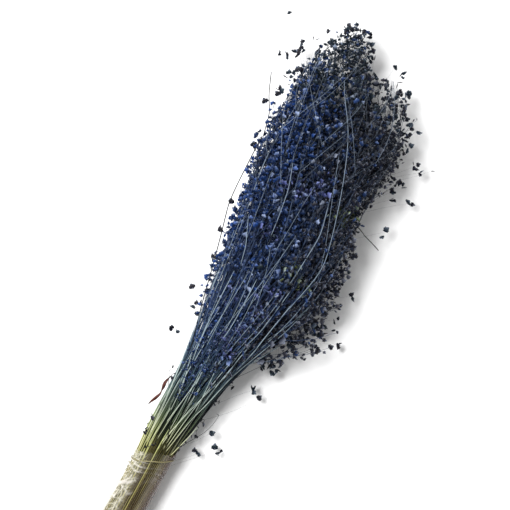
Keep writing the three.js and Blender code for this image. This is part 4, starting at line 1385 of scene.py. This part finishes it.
class GRASS_OT_stage(bpy.types.Operator):
    """Sets the pale floor, the soft light from the upper left, the sky and the camera straight above"""

    bl_idname = "grass.stage"
    bl_label = "Set stage"

    def execute(self, context):
        scene = context.scene
        properties = scene.quaking_stage
        target = to_frame(*LOOK_AT)
        self.make_floor(scene, properties)
        self.make_camera(scene, properties, target)
        self.make_light(scene, properties, target)
        self.make_sky(scene, properties)
        scene.view_settings.view_transform = "Standard"
        return {"FINISHED"}

    def make_floor(self, scene, properties):
        """A large pale sheet of card."""
        half = 4.0
        mesh = bpy.data.meshes.new("floor")
        corners = [(-half, -half, 0), (half, -half, 0), (half, half, 0), (-half, half, 0)]
        mesh.from_pydata(corners, [], [(0, 1, 2, 3)])
        material = bpy.data.materials.new("pale_floor")
        material.use_nodes = True
        shader = material.node_tree.nodes["Principled BSDF"]
        shader.inputs["Base Color"].default_value = (*properties.floor_colour, 1)
        shader.inputs["Roughness"].default_value = 0.9
        shader.inputs["Specular IOR Level"].default_value = 0.1
        mesh.materials.append(material)
        floor = bpy.data.objects.new("floor", mesh)
        scene.collection.objects.link(floor)

    def make_camera(self, scene, properties, target):
        """The camera, straight above the target, as far up as the picture's width asks for and turned with
        the picture."""
        camera = bpy.data.objects.new("camera", bpy.data.cameras.new("camera"))
        camera.data.lens = properties.lens
        camera.data.sensor_width = SENSOR_WIDTH
        distance = properties.width * properties.lens / SENSOR_WIDTH
        camera.location = target + np.array([0, 0, distance])
        camera.rotation_euler = (0, 0, properties.turn)
        scene.collection.objects.link(camera)
        scene.camera = camera

    def make_light(self, scene, properties, target):
        """A round soft light above the picture's upper left, aimed at the target."""
        turn = properties.turn
        right = np.array([math.cos(turn), math.sin(turn), 0])
        up = np.array([-math.sin(turn), math.cos(turn), 0])
        way = unit(LIGHT_RIGHT * right + LIGHT_UP * up + np.array([0, 0, LIGHT_ABOVE]))
        key = bpy.data.lights.new("key", "AREA")
        key.energy = properties.key_power
        key.shape = "DISK"
        key.size = LIGHT_WIDTH
        lamp = bpy.data.objects.new("key", key)
        lamp.location = target + way * LIGHT_DISTANCE
        lamp.rotation_mode = "QUATERNION"
        lamp.rotation_quaternion = Vector(way).to_track_quat("Z", "Y")
        scene.collection.objects.link(lamp)

    def make_sky(self, scene, properties):
        """An even white light from all round."""
        world = bpy.data.worlds.new("soft_sky")
        world.use_nodes = True
        background = world.node_tree.nodes["Background"]
        background.inputs["Color"].default_value = (1, 1, 1, 1)
        background.inputs["Strength"].default_value = properties.sky
        scene.world = world


class GRASS_PT_panel(bpy.types.Panel):
    """The bunch's sizes and colours, and the steps that make it"""

    bl_idname = "GRASS_PT_panel"
    bl_label = "Quaking grass"
    bl_space_type = "VIEW_3D"
    bl_region_type = "UI"
    bl_category = "Quaking grass"

    def draw(self, context):
        for group in (context.scene.quaking_grass, context.scene.quaking_wrap, context.scene.quaking_stage):
            box = self.layout.box()
            for name in group.bl_rna.properties.keys():
                if name not in ("rna_type", "name"):
                    box.prop(group, name)
        for operator in OPERATORS:
            self.layout.operator(operator.bl_idname)


OPERATORS = (
    GRASS_OT_tufts, GRASS_OT_loose_stalks, GRASS_OT_film, GRASS_OT_band, GRASS_OT_leaf, GRASS_OT_stage)
CLASSES = (GrassProperties, WrapProperties, StageProperties, *OPERATORS, GRASS_PT_panel)


def register():
    """Makes the classes known and hangs their properties on the scene."""
    for one in CLASSES:
        bpy.utils.register_class(one)
    bpy.types.Scene.quaking_grass = PointerProperty(type=GrassProperties)
    bpy.types.Scene.quaking_wrap = PointerProperty(type=WrapProperties)
    bpy.types.Scene.quaking_stage = PointerProperty(type=StageProperties)


def unregister():
    """Takes the properties and classes away again."""
    del bpy.types.Scene.quaking_grass
    del bpy.types.Scene.quaking_wrap
    del bpy.types.Scene.quaking_stage
    for one in reversed(CLASSES):
        bpy.utils.unregister_class(one)


def main():
    """Registers the add-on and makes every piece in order."""
    register()
    bpy.ops.grass.tufts()
    bpy.ops.grass.loose_stalks()
    bpy.ops.grass.film()
    bpy.ops.grass.band()
    bpy.ops.grass.leaf()
    bpy.ops.grass.stage()


if __name__ == "__main__":
    main()
